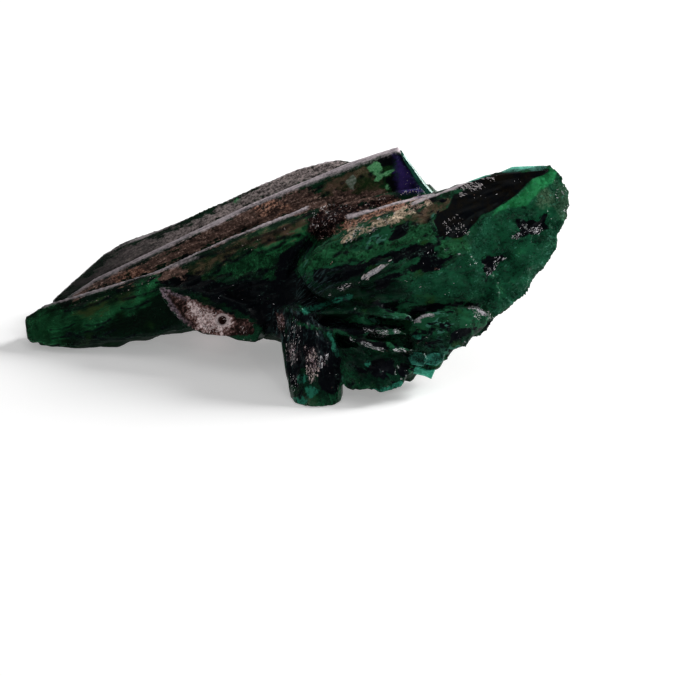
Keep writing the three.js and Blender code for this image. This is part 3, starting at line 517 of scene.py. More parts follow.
def inside(spots, outline):
    """How far each spot [across, up] lies inside an outline. Outside, it is negative."""
    x, y = spots.T
    nearest = np.full(len(spots), np.inf)
    within = np.zeros(len(spots), bool)
    for (ax, ay), (bx, by) in zip(outline, outline[1:] + outline[:1]):
        dx, dy = bx - ax, by - ay
        t = unit(((x - ax) * dx + (y - ay) * dy) / (dx * dx + dy * dy))
        nearest = np.minimum(nearest, np.hypot(x - ax - t * dx, y - ay - t * dy))
        if ay != by:
            within ^= ((ay > y) != (by > y)) & (x < ax + (y - ay) * dx / dy)
    return np.where(within, nearest, -nearest)


def beside(points, line):
    """The distance from each point to a line of straight lengths."""
    nearest = np.full(len(points), np.inf)
    for a, b in zip(line, line[1:]):
        a, b = np.array(a, float), np.array(b, float)
        t = unit((points - a) @ (b - a) / ((b - a) @ (b - a)))
        nearest = np.minimum(nearest, np.linalg.norm(points - a - t[:, None] * (b - a), axis=1))
    return nearest


def welded(mesh):
    """The corners of a mesh, in millimetres and each only once, and its triangles."""
    points = np.empty(len(mesh.vertices) * 3)
    mesh.vertices.foreach_get("co", points)
    mesh.calc_loop_triangles()
    faces = np.empty(len(mesh.loop_triangles) * 3, np.int32)
    mesh.loop_triangles.foreach_get("vertices", faces)
    unique, index = np.unique(np.round(points.reshape(-1, 3) / MM, 3), axis=0, return_inverse=True)
    faces = index.reshape(-1)[faces.reshape(-1, 3)]
    a, b, c = faces.T
    return unique, faces[(a != b) & (b != c) & (c != a)]


def remeshed(points, faces, size):
    """The same closed surface in even triangles, about as wide as size."""
    coarse = mesh_object("coarse", points, faces)
    modifier = coarse.modifiers.new("even", "REMESH")
    modifier.mode = "VOXEL"
    modifier.voxel_size = size * MM
    even = coarse.evaluated_get(bpy.context.evaluated_depsgraph_get()).to_mesh()
    made = welded(even)
    bpy.data.objects.remove(coarse)
    return made


def smoothed(points, faces, share, rounds):
    """The corners of a closed mesh, drawn towards the middle of their neighbours, each by its share."""
    start = faces.ravel()
    end = faces[:, [1, 2, 0]].ravel()
    count = np.bincount(start, minlength=len(points))[:, None]
    for _ in range(rounds):
        total = np.stack([np.bincount(start, points[end, n], len(points)) for n in range(3)], axis=1)
        points = points + share[:, None] * (total / count - points)
    return points


def face_ways(points, faces):
    """The middles of the faces and their normals, as long as twice their areas."""
    a, b, c = (points[faces[:, n]] for n in range(3))
    return (a + b + c) / 3, np.cross(b - a, c - a)


def of_length_one(ways):
    return ways / np.maximum(np.linalg.norm(ways, axis=1, keepdims=True), 1e-12)


def normals_of(points, faces):
    """The normals at the corners."""
    _, ways = face_ways(points, faces)
    total = [sum(np.bincount(faces[:, k], ways[:, n], len(points)) for k in range(3)) for n in range(3)]
    return of_length_one(np.stack(total, axis=1))


def creases(points, faces, angle):
    """Spots along the sharp edges of a closed mesh: those that stand out, and those in its hollows."""
    middle, ways = face_ways(points, faces)
    ways = of_length_one(ways)
    ends = np.sort(faces[:, [[0, 1], [1, 2], [2, 0]]], axis=2).reshape(-1, 2)
    owner = np.repeat(np.arange(len(faces)), 3)
    order = np.lexsort((ends[:, 1], ends[:, 0]))
    ends, owner = ends[order][::2], owner[order].reshape(-1, 2)
    one, two = owner.T
    sharp = (ways[one] * ways[two]).sum(axis=1) < math.cos(angle)
    proud = ((middle[two] - middle[one]) * ways[one]).sum(axis=1) < 0
    found = []
    for wanted in (sharp & proud, sharp & ~proud):
        spots = []
        for start, end in points[ends[wanted]]:
            count = 2 + int(np.linalg.norm(end - start) / SPOT_STEP)
            spots.append(start + np.linspace(0, 1, count)[:, None] * (end - start))
        found.append(np.vstack(spots))
    return found


def nearest(spots, points):
    """For each point, the nearest of the spots and how far away it is."""
    tree = KDTree(len(spots))
    for index, spot in enumerate(spots.tolist()):
        tree.insert(spot, index)
    tree.balance()
    found = [tree.find(point) for point in points.tolist()]
    return spots[[f[1] for f in found]], np.array([f[2] for f in found])


def fitted_mesh():
    """The CAD solid in fine triangles, in the view, and how far its corners are from edges and grooves."""
    rough_points, rough_faces = welded(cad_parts[NODE].data)
    points, faces = remeshed(rough_points, rough_faces, CELL)
    surface = BVHTree.FromPolygons(rough_points.tolist(), rough_faces.tolist())
    view = to_view(np.array([surface.find_nearest(point)[0] for point in points.tolist()]))
    rough_view = to_view(rough_points)
    edges, _ = creases(rough_view, rough_faces, EDGE_ANGLE)
    _, grooves = creases(rough_view, rough_faces, GROOVE_ANGLE)
    edge, edge_gap = nearest(edges, view)
    view = np.where((edge_gap < SNAP)[:, None], edge, view)
    view = smoothed(view, faces, 0.5 * fade(edge_gap, EVEN_OUT, 1.6), 3)
    _, groove_gap = nearest(grooves, view)
    return view, faces, edge_gap, groove_gap


def pit_distance(view):
    """How far each place is from the middle of the round hollow, in its radii."""
    return np.hypot(*(view[:, [0, 2]] - PIT).T) / PIT_RADIUS


def surface_marks(view, normal, edge_gap, groove_gap):
    """How much of each zone, and of each kind of place, every corner has, from 0 to 1."""
    spots = view[:, [0, 2]]
    towards = unit((0.3 - normal[:, 1]) * 3)
    marks = {}
    for name, text in ZONES.items():
        depth = np.max([inside(spots, outline) for outline in outlines(text)], axis=0)
        marks[name] = unit(0.5 + depth / SOFT / 2) * towards
    marks["ridge"] = np.max([fade(beside(view, line) / wide, 2) for wide, line in RIDGES], axis=0)
    marks["edge"] = fade(edge_gap, EDGE_REACH)
    marks["hollow"] = fade(groove_gap, GROOVE_REACH) * (1 - marks["fracture"])
    marks["behind"] = 1 - towards
    down = normal[:, 1] * math.sin(LEAN) - normal[:, 2] * math.cos(LEAN)
    marks["under"] = unit(down * 3 - 0.6)
    fan = unit(0.5 + inside(spots, WEDGE_FIELD) / 2)
    foot = unit(0.5 + inside(spots, FOOT_FIELD) / 2)
    marks["fan"] = np.maximum(fan, foot)
    reach = view - FAN
    radius = np.hypot(reach[:, 0], reach[:, 2])
    marks["core"] = fade(np.hypot(radius, view[:, 1] - FAN[1]), CORE, 1.6) * towards
    marks["pit"] = unit(1.6 - pit_distance(view)) * towards
    return marks, towards, fan, foot


def grains(view):
    """Places counted in flakes, for the blades, the fan and the foot: along crystals and across them."""
    along = np.array(BLADE) / np.linalg.norm(BLADE)
    side = np.cross(along, (0, 1, 0))
    side /= np.linalg.norm(side)
    blade = np.stack([view @ along, view @ side, view @ np.cross(side, along)], axis=1) / BLADE_FLAKE
    reach = view - FAN
    radius = np.hypot(reach[:, 0], reach[:, 2])
    angle = np.arctan2(reach[:, 2], reach[:, 0])
    fan = np.stack([radius, angle * FAN_SPREAD, view[:, 1]], axis=1) / FAN_FLAKE
    foot = view[:, [2, 0, 1]] / FOOT_FLAKE
    return blade, fan, foot


def solid(mark):
    """A zone's mark as 0 outside its outline and 1 from a little inside it."""
    return unit((mark - 0.45) * 5)


def relief(view, normal, marks, towards, fan, foot, flakes):
    """How far each corner is raised: chips and lumps of the crystals, worn undersides, the hollow."""
    blade_flakes, fan_flakes, foot_flakes = flakes
    broken, dusty, frosted = solid(marks["fracture"]), solid(marks["dust"]), solid(marks["white"])
    black = solid(marks["dark"])
    plain = (1 - broken) * (1 - dusty) * (1 - solid(marks["face"]))
    rise = plain * (1 - fan) * (1 - foot) * BLADE_CHIP * facets(blade_flakes, 11)
    rise += plain * fan * (WEDGE_CHIP * facets(fan_flakes, 13) + CRUMB * facets(fan_flakes * 2.5, 14))
    rise += plain * foot * (1 - fan) * FOOT_CHIP * facets(foot_flakes, 15)
    rise += broken * (WEDGE_CHIP * facets(view / 3.2, 17) + CRUMB * noise(view / 1.1, 18))
    rise += broken * black * BROKEN_LUMP * noise(view / 0.8, 21)
    rise += dusty * (DUST_LUMP * noise(view / 1.3, 19) + DUST_GRAIN * noise(view / 0.6, 20))
    rise += FROST_RISE * frosted - DARK_DROP * black * plain
    rise *= unit(0.4 + np.abs(normal[:, 1]) * 1.2)
    rise += (1 - fan) * (1 - foot) * marks["under"] * UNDER_LUMP * noise(view / 2.2, 22)
    side_on = unit(1 - np.abs(normal[:, 1]) * 1.5)
    rise += fan * side_on * (RIM_LUMP * noise(view / 1.4, 24) + RIM_GRAIN * noise(view / 0.7, 25))
    reach = pit_distance(view) * (1 + 0.25 * noise(view / 0.9, 23))
    lip = np.exp(-(((reach - 1.2) / 0.3) ** 2))
    rise += towards * (PIT_LIP * lip - PIT_DEPTH * unit(1.1 - reach))
    return rise


def crystal_mesh():
    """The cluster with the relief of its faces, and what each place of its surface is like."""
    view, faces, edge_gap, groove_gap = fitted_mesh()
    normal = normals_of(view, faces)
    marks, towards, fan, foot = surface_marks(view, normal, edge_gap, groove_gap)
    flakes = grains(view)
    rise = relief(view, normal, marks, towards, fan, foot, flakes)
    moved = to_frame(view + normal * rise[:, None])
    moved[:, 2] = np.maximum(moved[:, 2], 0)
    blade, wedge, stub = flakes
    grain = np.where((fan > 0.5)[:, None], wedge, blade)
    grain = np.where((foot > 0.5)[:, None], stub, grain)
    return moved, faces, marks, grain


def strewn(rng, density, outline):
    """Spots strewn over an outline, crowded in some places and thin in others."""
    low, high = np.min(outline, axis=0), np.max(outline, axis=0)
    spots = low + rng.random((int(density * np.prod(high - low)), 2)) * (high - low)
    spots = spots[inside(spots, outline) > 0]
    crowd = noise(np.column_stack([spots, np.zeros(len(spots))]) / 0.9, 31)
    return spots[crowd > rng.random(len(spots)) * 0.8 - 0.4]


def sliver(rng, hit, normal, axis, long, wide):
    """The corners of one sliver that lies on a face: two rings of six, and its two tips."""
    axis = (axis - axis.dot(normal) * normal).normalized()
    side = normal.cross(axis)
    corners = []
    for along in (-0.5, 0.5):
        for a in np.radians([0, 60, 120, 180, 240, 300]):
            out = (side * math.cos(a) + normal * math.sin(a)) * wide * rng.uniform(0.5, 1.3)
            corners.append(hit + axis * (along + rng.uniform(-0.25, 0.25)) * long + out)
    return corners + [hit - axis * long, hit + axis * long]


def sliver_mesh(tree):
    """Small six-sided slivers with pointed ends, half sunk into what the rays of the view meet."""
    rng = np.random.default_rng(7)
    points, faces, tints, tones = [], [], [], []
    sight = way_in_frame(0, 1, 0)
    for density, turn, stray, longest, tint, text in CLUSTERS:
        for across, up in strewn(rng, density, outlines(text)[0]):
            hit, normal, _, _ = tree.ray_cast(Vector(to_frame([[across, -EYE, up]])[0]), sight)
            angle = math.radians(turn + stray * rng.normal())
            long = longest * (0.25 + 0.75 * rng.random() ** 2) / 2
            wide = max(long * rng.uniform(0.12, 0.26), THINNEST)
            tone = rng.random()
            if hit is None:
                continue
            first = len(points)
            axis = way_in_frame(math.cos(angle), 0, math.sin(angle))
            corners = sliver(rng, hit, normal, axis, long, wide)
            for n in range(6):
                a, b = first + n, first + (n + 1) % 6
                faces += [(a, b, b + 6), (a, b + 6, a + 6), (b, a, first + 12), (a + 6, b + 6, first + 13)]
            points += corners
            tints += [tint] * len(corners)
            tones += [tone] * len(corners)
    return np.array(points), faces, {"tint": tints, "tone": tones}


def plate_mesh(near, far, text):
    """A flat plate with bevelled edges between two depths of the view."""
    flat = np.array(outlines(text)[0])
    before, after = np.roll(flat, 1, axis=0), np.roll(flat, -1, axis=0)
    way = after - before
    inward = np.stack([way[:, 1], -way[:, 0]], axis=1) / np.linalg.norm(way, axis=1)[:, None]
    x, y = flat.T
    if (x * np.roll(y, -1) - y * np.roll(x, -1)).sum() > 0:
        inward = -inward
    rings = [(near, BEVEL), (near + BEVEL, 0), (far - BEVEL, 0), (far, BEVEL)]
    points = np.vstack([np.insert(flat + inward * inset, 1, depth, axis=1) for depth, inset in rings])
    count = len(flat)
    faces = []
    for level in range(3):
        for n in range(count):
            a, b = level * count + n, level * count + (n + 1) % count
            faces += [(a, b, b + count), (a, b + count, a + count)]
    for a, b, c in tessellate_polygon([[Vector((*spot, 0)) for spot in flat]]):
        faces += [(a, b, c), (c + 3 * count, b + 3 * count, a + 3 * count)]
    return to_frame(points), faces


def joined(meshes):
    """One tree of the triangles of several meshes, for casting rays."""
    starts = np.cumsum([0] + [len(points) for points, _ in meshes])
    corners = np.vstack([points for points, _ in meshes])
    sides = np.vstack([np.array(faces) + start for (_, faces), start in zip(meshes, starts)])
    return BVHTree.FromPolygons(corners.tolist(), sides.tolist())


def outward(piece):
    """Turns all the faces of a closed piece to the outside."""
    work = bmesh.new()
    work.from_mesh(piece.data)
    bmesh.ops.recalc_face_normals(work, faces=work.faces)
    work.to_mesh(piece.data)
    work.free()


def mesh_object(name, points, faces, marks=None, grain=None, sharp=None):
    mesh = bpy.data.meshes.new(name)
    mesh.from_pydata((np.asarray(points) * MM).tolist(), [], np.asarray(faces).tolist())
    for mark, values in (marks or {}).items():
        layer = mesh.attributes.new(mark, "FLOAT", "POINT")
        layer.data.foreach_set("value", np.asarray(values, np.float32))
    if grain is not None:
        layer = mesh.attributes.new("grain", "FLOAT_VECTOR", "POINT")
        layer.data.foreach_set("vector", np.asarray(grain, np.float32).ravel())
    if sharp is not None:
        mesh.polygons.foreach_set("use_smooth", [True] * len(mesh.polygons))
        mesh.set_sharp_from_angle(angle=sharp)
    piece = bpy.data.objects.new(name, mesh)
    bpy.context.scene.collection.objects.link(piece)
    return piece


class Graph:
    """The node tree of one material. Noise, cells and most other values run from 0 to 1."""

    def __init__(self, name):
        self.material = bpy.data.materials.new(name)
        self.material.use_nodes = True
        self.tree = self.material.node_tree

    def join(self, socket, value):
        """Gives a socket a link, a number or a colour, which may be one of COLOURS by its name."""
        if isinstance(value, str):
            value = COLOURS[value]
        if isinstance(value, bpy.types.NodeSocket):
            self.tree.links.new(value, socket)
        elif hasattr(value, "__len__") and len(value) == 3 and socket.type == "RGBA":
            socket.default_value = (*value, 1)
        else:
            socket.default_value = value

    def add(self, kind, inputs, **settings):
        node = self.tree.nodes.new(kind)
        for key, value in settings.items():
            setattr(node, key, value)
        for name, value in inputs.items():
            self.join(node.inputs[name], value)
        return node

    def finished(self, inputs, absorbed=None):
        """The material, with the inputs of its shader and the colour and density of its depth."""
        for name, value in inputs.items():
            self.join(self.tree.nodes["Principled BSDF"].inputs[name], value)
        if absorbed:
            depth = self.add("ShaderNodeVolumeAbsorption", dict(zip(("Color", "Density"), absorbed)))
            self.tree.links.new(depth.outputs[0], self.tree.nodes["Material Output"].inputs["Volume"])
        return self.material

    def mark(self, name):
        return self.add("ShaderNodeAttribute", {}, attribute_name=name).outputs["Fac"]

    def vector(self, name):
        return self.add("ShaderNodeAttribute", {}, attribute_name=name).outputs["Vector"]

    def bent(self, vector, scale, reach):
        """The vector, pushed about by noise."""
        noise = self.add("ShaderNodeTexNoise", {"Vector": vector, "Scale": scale, "Detail": 2.0})
        inputs = {0: noise.outputs["Color"], 1: (reach, reach, reach), 2: vector}
        return self.add("ShaderNodeVectorMath", inputs, operation="MULTIPLY_ADD").outputs[0]

    def place(self):
        """The place on the object, in millimetres."""
        inputs = {0: self.add("ShaderNodeTexCoord", {}).outputs["Object"], "Scale": 1 / MM}
        return self.add("ShaderNodeVectorMath", inputs, operation="SCALE").outputs[0]

    def noise(self, vector, scale, detail=2.0, rough=0.5):
        inputs = {"Vector": vector, "Scale": scale, "Detail": detail, "Roughness": rough}
        return self.add("ShaderNodeTexNoise", inputs).outputs["Fac"]

    def math(self, operation, *values):
        return self.add("ShaderNodeMath", dict(enumerate(values)), operation=operation).outputs[0]

    def total(self, first, *others):
        """A value and others, each of them with its weight, added up."""
        for value, weight in others:
            first = self.math("MULTIPLY_ADD", value, weight, first)
        return first

    def both(self, *values):
        """How much all of the values hold at once."""
        return functools.reduce(lambda a, b: self.math("MULTIPLY", a, b), values)

    def most(self, *values):
        return functools.reduce(lambda a, b: self.math("MAXIMUM", a, b), values)

    def minus(self, value):
        return self.math("SUBTRACT", 1.0, value)

    def centred(self, value):
        """Noise around 0 instead of around a half."""
        return self.math("SUBTRACT", value, 0.5)

    def ramp(self, value, low, high, start=0.0, end=1.0):
        inputs = {"Value": value, "From Min": low, "From Max": high, "To Min": start, "To Max": end}
        return self.add("ShaderNodeMapRange", inputs, interpolation_type="SMOOTHSTEP").outputs["Result"]

    def blend(self, share, a, b):
        node = self.add("ShaderNodeMix", {}, data_type="RGBA")
        for index, value in ((0, share), (6, a), (7, b)):
            self.join(node.inputs[index], value)
        return node.outputs[2]

    def shade(self, name, value, low, high):
        """From the first to the second of two TONES, while a value goes from low to high."""
        return self.blend(self.ramp(value, low, high), *TONES[name])

    def cells(self, vector, scale, distance="EUCLIDEAN"):
        """Flat cells of about a unit: three random numbers that hold for a whole cell."""
        inputs = {"Vector": vector, "Scale": scale}
        cell = self.add("ShaderNodeTexVoronoi", inputs, feature="F1", distance=distance)
        return self.add("ShaderNodeSeparateColor", {"Color": cell.outputs["Color"]}).outputs

    def cracks(self, vector, scale):
        """The distance to the borders of such cells."""
        inputs = {"Vector": vector, "Scale": scale}
        return self.add("ShaderNodeTexVoronoi", inputs, feature="DISTANCE_TO_EDGE").outputs["Distance"]

    def bump(self, height, strength, distance, before=None):
        inputs = {"Height": height, "Strength": strength, "Distance": distance * MM}
        if before is not None:
            inputs["Normal"] = before
        return self.add("ShaderNodeBump", inputs).outputs["Normal"]


class Crystal(Graph):
    """The crystals' material: the noise and the zones that its parts share, and what they lay down."""

    def __init__(self):
        super().__init__("axinite")
        self.where, grain = self.place(), self.vector("grain")
        self.across = self.add("ShaderNodeSeparateXYZ", {"Vector": self.where}).outputs["X"]
        self.cloud = self.noise(self.where, 0.16, 3)
        self.patch = self.noise(self.where, 0.55, 4, 0.6)
        self.speck = self.noise(self.where, 2.2, 5, 0.75)
        self.grit = self.noise(self.where, 4.6, 4, 0.7)
        self.streak = self.noise(grain, 1.6, 4, 0.6)
        self.fine_streak = self.noise(grain, 5.5, 3, 0.6)
        sand = self.noise(self.bent(grain, 3.0, 0.3), 3.2, 5, 0.75)
        self.sandy = self.total(-0.2, (self.math("ADD", sand, self.speck), 0.7))
        self.bent_grain = self.bent(grain, 1.5, 0.7)
        self.flake = self.cells(self.bent_grain, 1.1)
        self.chip = self.cells(self.bent(grain, 4.0, 0.2), 3.0, "CHEBYCHEV")
        crumb = self.cells(self.where, 2.4, "CHEBYCHEV")
        self.mosaic = self.total(self.both(crumb[1], 0.22), (self.chip[1], 0.3))
        flaky = self.total(self.mosaic, (self.flake[1], 0.3))
        self.shaded = self.ramp(self.math("ADD", flaky, self.both(self.patch, 0.8)), 0.4, 1.15)
        ragged = self.math("ADD", self.centred(self.patch), self.centred(self.streak))
        self.ragged = self.total(ragged, (self.centred(self.chip[0]), 0.2))
        self.fan, self.behind = self.mark("fan"), self.mark("behind")
        self.core, self.hollow = self.mark("core"), self.mark("hollow")
        self.rightward = self.ramp(self.across, -42.0, 0.0)
        self.zones = types.SimpleNamespace()
        for name, (shift, soft) in EDGES.items():
            shifted = self.total(self.mark(name), (self.ragged, shift))
            setattr(self.zones, name, self.ramp(shifted, 0.5 - soft, 0.5 + soft))
        self.colour = self.dark = None
        # The crystal is cloudier towards the right, and matt underneath.
        self.opaque, self.matt = [self.both(self.rightward, 0.6)], [self.mark("under")]

    def cover(self, zone, colour, share=1, opaque=0, matt=0):
        """Lays a colour over a zone: how much of it shows, and how opaque and matt it makes the zone."""
        self.colour = self.blend(self.weighed(zone, share), self.colour, colour)
        for values, weight in ((self.opaque, opaque), (self.matt, matt)):
            if weight:
                values.append(self.weighed(zone, weight))

    def weighed(self, value, weight):
        return value if weight == 1 else self.both(value, weight)


def clear_green(g):
    """Flat flakes of lighter and darker green, the greens of the fracture, and the painted glow of the glow
    zone and the thin tip.
    """
    z, patch, speck, fan = g.zones, g.patch, g.speck, g.fan
    flaky = g.total(g.mosaic, (g.flake[0], 0.35))
    tone = g.total(g.cloud, (flaky, g.ramp(fan, 0.0, 1.0, 0.35, 1.0)))
    g.colour = g.shade("clear", tone, 0.5, 1.2)
    g.cover(g.ramp(g.noise(g.where, 0.3, 3), 0.55, 0.75), "moss")
    rolling = g.both(g.fine_streak, 0.5)
    rolling = g.total(rolling, (g.noise(g.where, 0.28, 2), 0.6), (patch, 0.3), (speck, 0.25))
    g.cover(z.fracture, g.shade("fracture", rolling, 0.6, 1.05))
    pebbly = g.total(g.both(g.shaded, fan, 0.1), (g.math("ADD", speck, patch), 0.6))
    # painted glow: a brighter green stands in for light shining through the crystal
    g.cover(z.glow, g.shade("glow", pebbly, 0.45, 1.0))
    light = g.both(g.ramp(g.flake[2], 0.9, 0.92), g.ramp(g.chip[0], 0.45, 0.5), fan, g.minus(z.fracture))
    g.cover(light, "light_flake", share=0.7)
    # painted glow: a brighter green stands in for light shining through the thin tip
    g.cover(z.tip, g.shade("tip", patch, 0.3, 0.7))


def cloudy_green(g):
    """Where the green is grey, veiled, olive, yellowish, pale or bluish, and painted shade over the fan's
    lower parts.
    """
    z, patch, speck, grit = g.zones, g.patch, g.speck, g.grit
    g.cover(z.ash, g.shade("ash", g.total(speck, (grit, 0.6)), 0.6, 0.95), share=0.85)
    g.cover(g.both(z.veil, g.ramp(speck, 0.35, 0.65)), g.shade("veil", grit, 0.4, 0.7), share=0.7)
    murk = g.ramp(g.total(patch, (g.cloud, 0.5), (g.sandy, 0.5)), 0.75, 1.2)
    g.cover(z.olive, g.blend(murk, "mud", g.shade("ochre", g.across, -30.0, -8.0)), opaque=0.5)
    g.cover(z.lime, g.blend(g.shaded, *TONES["lime"]))
    g.cover(z.pale, g.shade("pale", grit, 0.35, 0.65))
    g.cover(z.pane, g.shade("pane", g.sandy, 0.35, 0.7), share=0.85)
    # painted shade darkens the lower parts of the fan, under the wedge
    g.cover(z.deep, "deep", share=0.75)
    g.cover(z.teal, g.shade("teal", g.total(g.shaded, (speck, 0.6)), 0.35, 1.1))


def black_inclusions_and_painted_shade(g):
    """Black patches, the fan's dark heart, cracks and dashes, painted shade in the grooves and on the
    underside, and scratches.
    """
    z, patch, fan, broken = g.zones, g.patch, g.fan, g.zones.fracture
    cracks = g.ramp(g.cracks(g.bent_grain, 1.4), 0.05, 0.0)
    cracks = g.both(cracks, fan, g.ramp(patch, 0.5, 0.6), g.minus(broken))
    clear_of = [g.minus(zone) for zone in (z.glow, z.teal, z.pale, z.lime)]
    inclusions = g.both(g.ramp(g.total(g.streak, (g.flake[2], 0.3)), 0.8, 0.84), fan, *clear_of)
    dashes = g.both(g.ramp(g.total(g.fine_streak, (g.cloud, 0.4)), 0.84, 0.9), broken, g.minus(z.lime))
    heart = g.ramp(g.total(g.core, (g.ragged, 0.9)), 0.62, 0.85)
    g.dark = g.most(
        g.both(z.dark, g.minus(z.teal)),
        z.face,
        g.both(heart, fan, g.minus(z.teal), g.minus(z.glow)),
        g.both(inclusions, g.minus(g.both(broken, 0.8))),
        g.both(cracks, 0.7),
        g.both(dashes, 0.8),
        # painted shade: the grooves between the crystals are darkened
        g.ramp(g.hollow, 0.4, 0.9),
    )
    gleam = g.ramp(g.total(g.streak, (g.fine_streak, 0.6)), 0.82, 0.98)
    black = g.blend(g.both(gleam, g.core, fan), *TONES["black"])
    worn = g.ramp(g.total(patch, (g.speck, 0.5)), 0.6, 1.0)
    g.cover(g.dark, g.blend(g.both(z.face, worn), black, "face"), opaque=0.9)
    # painted shade: faces that turn downward are darkened to near black
    g.cover(g.both(g.mark("under"), g.minus(z.teal)), "underside", share=0.9, opaque=0.9)
    scratches = g.both(g.ramp(g.fine_streak, 0.42, 0.34), broken, g.minus(g.dark), g.ramp(patch, 0.4, 0.6))
    g.cover(scratches, "scratch", share=0.6)


def brown_bands(g):
    """Brown, wine red, rusty and cream coats of the grooves and ridges."""
    z, patch, speck, grit, sandy = g.zones, g.patch, g.speck, g.grit, g.sandy
    earth = g.shade("earth", g.total(sandy, (patch, 0.6)), 0.6, 1.0)
    earth = g.blend(g.ramp(g.total(sandy, (grit, 0.5)), 0.8, 0.98), earth, "earth_grain")
    coat = g.ramp(g.total(patch, (g.hollow, 0.4), (speck, 0.6)), 0.86, 1.02)
    g.cover(g.most(z.brown, g.both(coat, g.behind)), earth, opaque=1, matt=0.6)
    wine = g.shade("wine", g.total(speck, (grit, 0.5)), 0.8, 1.0)
    g.cover(z.wine, wine, share=g.ramp(speck, 0.3, 0.55), opaque=1)
    flecks, grains = g.total(patch, (speck, 0.8)), g.total(sandy, (grit, 0.6))
    rust = g.both(z.rust, g.ramp(flecks, 0.76, 0.94), g.ramp(g.across, -35.0, -10.0, 0.5, 1.0))
    g.cover(rust, g.shade("rust", grains, 0.68, 0.98), opaque=1)
    cream = g.both(z.cream, g.ramp(flecks, 0.7, 0.95), g.ramp(g.across, -20.0, 0.0, 0.45, 1.0))
    g.cover(cream, g.shade("cream", grains, 0.62, 0.95), opaque=1, matt=1)


def grey_haze(g):
    """The greyish lilac coat of the upper blade, with painted shade that darkens it to the left."""
    patch, speck, grit, sandy = g.patch, g.speck, g.grit, g.sandy
    lilac = g.shade("haze", g.total(g.both(sandy, 0.4), (patch, 0.5), (g.streak, 0.6)), 0.5, 1.0)
    grains = g.ramp(g.total(sandy, (speck, 0.5)), 0.62, 0.95)
    lilac = g.blend(g.both(g.rightward, grains), lilac, "haze_grain")
    lilac = g.blend(g.ramp(g.total(sandy, (grit, 0.5)), 0.88, 1.0), lilac, "haze_rust")
    # painted shade: darker to the left, as if lit from the right
    lilac = g.blend(g.ramp(g.across, -12.0, -44.0), lilac, g.blend(0.9, lilac, "haze_left_shade"))
    behind = g.both(g.behind, g.minus(g.fan), g.ramp(g.total(g.cloud, (g.streak, 0.7)), 0.78, 1.0), 0.7)
    share = g.ramp(g.cloud, 0.25, 0.5, 0.7, 0.97)
    g.cover(g.most(g.zones.haze, behind), lilac, share=share, opaque=0.9, matt=0.6)


def dusty_wedge(g):
    """The brown wedge: powder, thickest in its middle, a greyish rim on its left, and its round hollow."""
    patch, speck, grit, pit = g.patch, g.speck, g.grit, g.mark("pit")
    middle = g.ramp(g.total(g.mark("powder"), (g.ragged, 0.8)), 0.2, 0.85)
    level = g.total(speck, (patch, 0.45), (grit, 0.35), (middle, 0.34))
    powder = g.shade("powder", level, 0.86, 1.13)
    powder = g.blend(g.ramp(level, 1.07, 1.39), powder, "powder_grain")
    rim, left = g.ramp(g.mark("dust"), 0.78, 0.6), g.ramp(g.across, -16.0, -21.0)
    rim = g.both(rim, left, g.ramp(speck, 0.35, 0.6))
    powder = g.blend(g.both(rim, 0.7), powder, "dust_rim")
    powder = g.blend(g.both(g.ramp(pit, 0.02, 0.2), 0.8), powder, "pit_rim")
    powder = g.blend(g.ramp(pit, 0.45, 0.75), powder, "pit")
    g.cover(g.zones.dust, powder, opaque=1, matt=1)


def frosted_ridges(g):
    """The worn ridges, with painted shade that darkens them to the left."""
    worn = g.shade("ridge", g.sandy, 0.25, 0.7)
    # painted shade: darker to the left, as if lit from the right
    worn = g.blend(g.ramp(g.across, 0.0, -46.0), worn, g.blend(0.6, worn, "ridge_left_shade"))
    ragged = g.total(g.mark("ridge"), (g.centred(g.sandy), 0.7), (g.centred(g.cloud), 0.8))
    ridge = g.both(g.ramp(ragged, 0.42, 0.8), g.ramp(g.behind, 0.0, 1.0, 0.92, 0.55))
    g.cover(ridge, worn, opaque=1, matt=1)


def blooms_and_painted_glints(g):
    """Pinkish blooms on the foot, the violet patch, white strips, frost along edges, and painted glints as
    light spots.
    """
    z, patch, speck, grit = g.zones, g.patch, g.speck, g.grit
    petals = g.total(g.both(g.mark("bloom"), 0.25), (g.fine_streak, 0.6), (grit, 0.7))
    g.cover(g.both(z.bloom, g.ramp(petals, 0.8, 0.98)), g.shade("bloom", speck, 0.4, 0.62), opaque=1)
    g.cover(z.violet, g.shade("violet", patch, 0.3, 0.7), opaque=1)
    g.cover(g.both(z.violet, g.ramp(grit, 0.64, 0.7)), "violet_grain")
    g.cover(z.white, g.shade("white", grit, 0.35, 0.6), opaque=1, matt=1)
    off_face = g.minus(z.face)
    edge = g.ramp(g.mark("edge"), 0.4, 0.9)
    frost = g.both(edge, g.ramp(speck, 0.52, 0.66), off_face, g.ramp(g.across, 16.0, 19.0, 0.3, 1.0))
    g.cover(frost, "frost", share=0.4)
    # painted glints: small light spots stand in for sparkles off tiny facets
    spots = g.both(g.ramp(grit, 0.67, 0.73), g.ramp(patch, 0.46, 0.6))
    spots = g.both(spots, g.minus(g.both(g.dark, 0.7)), off_face)
    g.cover(spots, "spots", share=0.7, opaque=1)


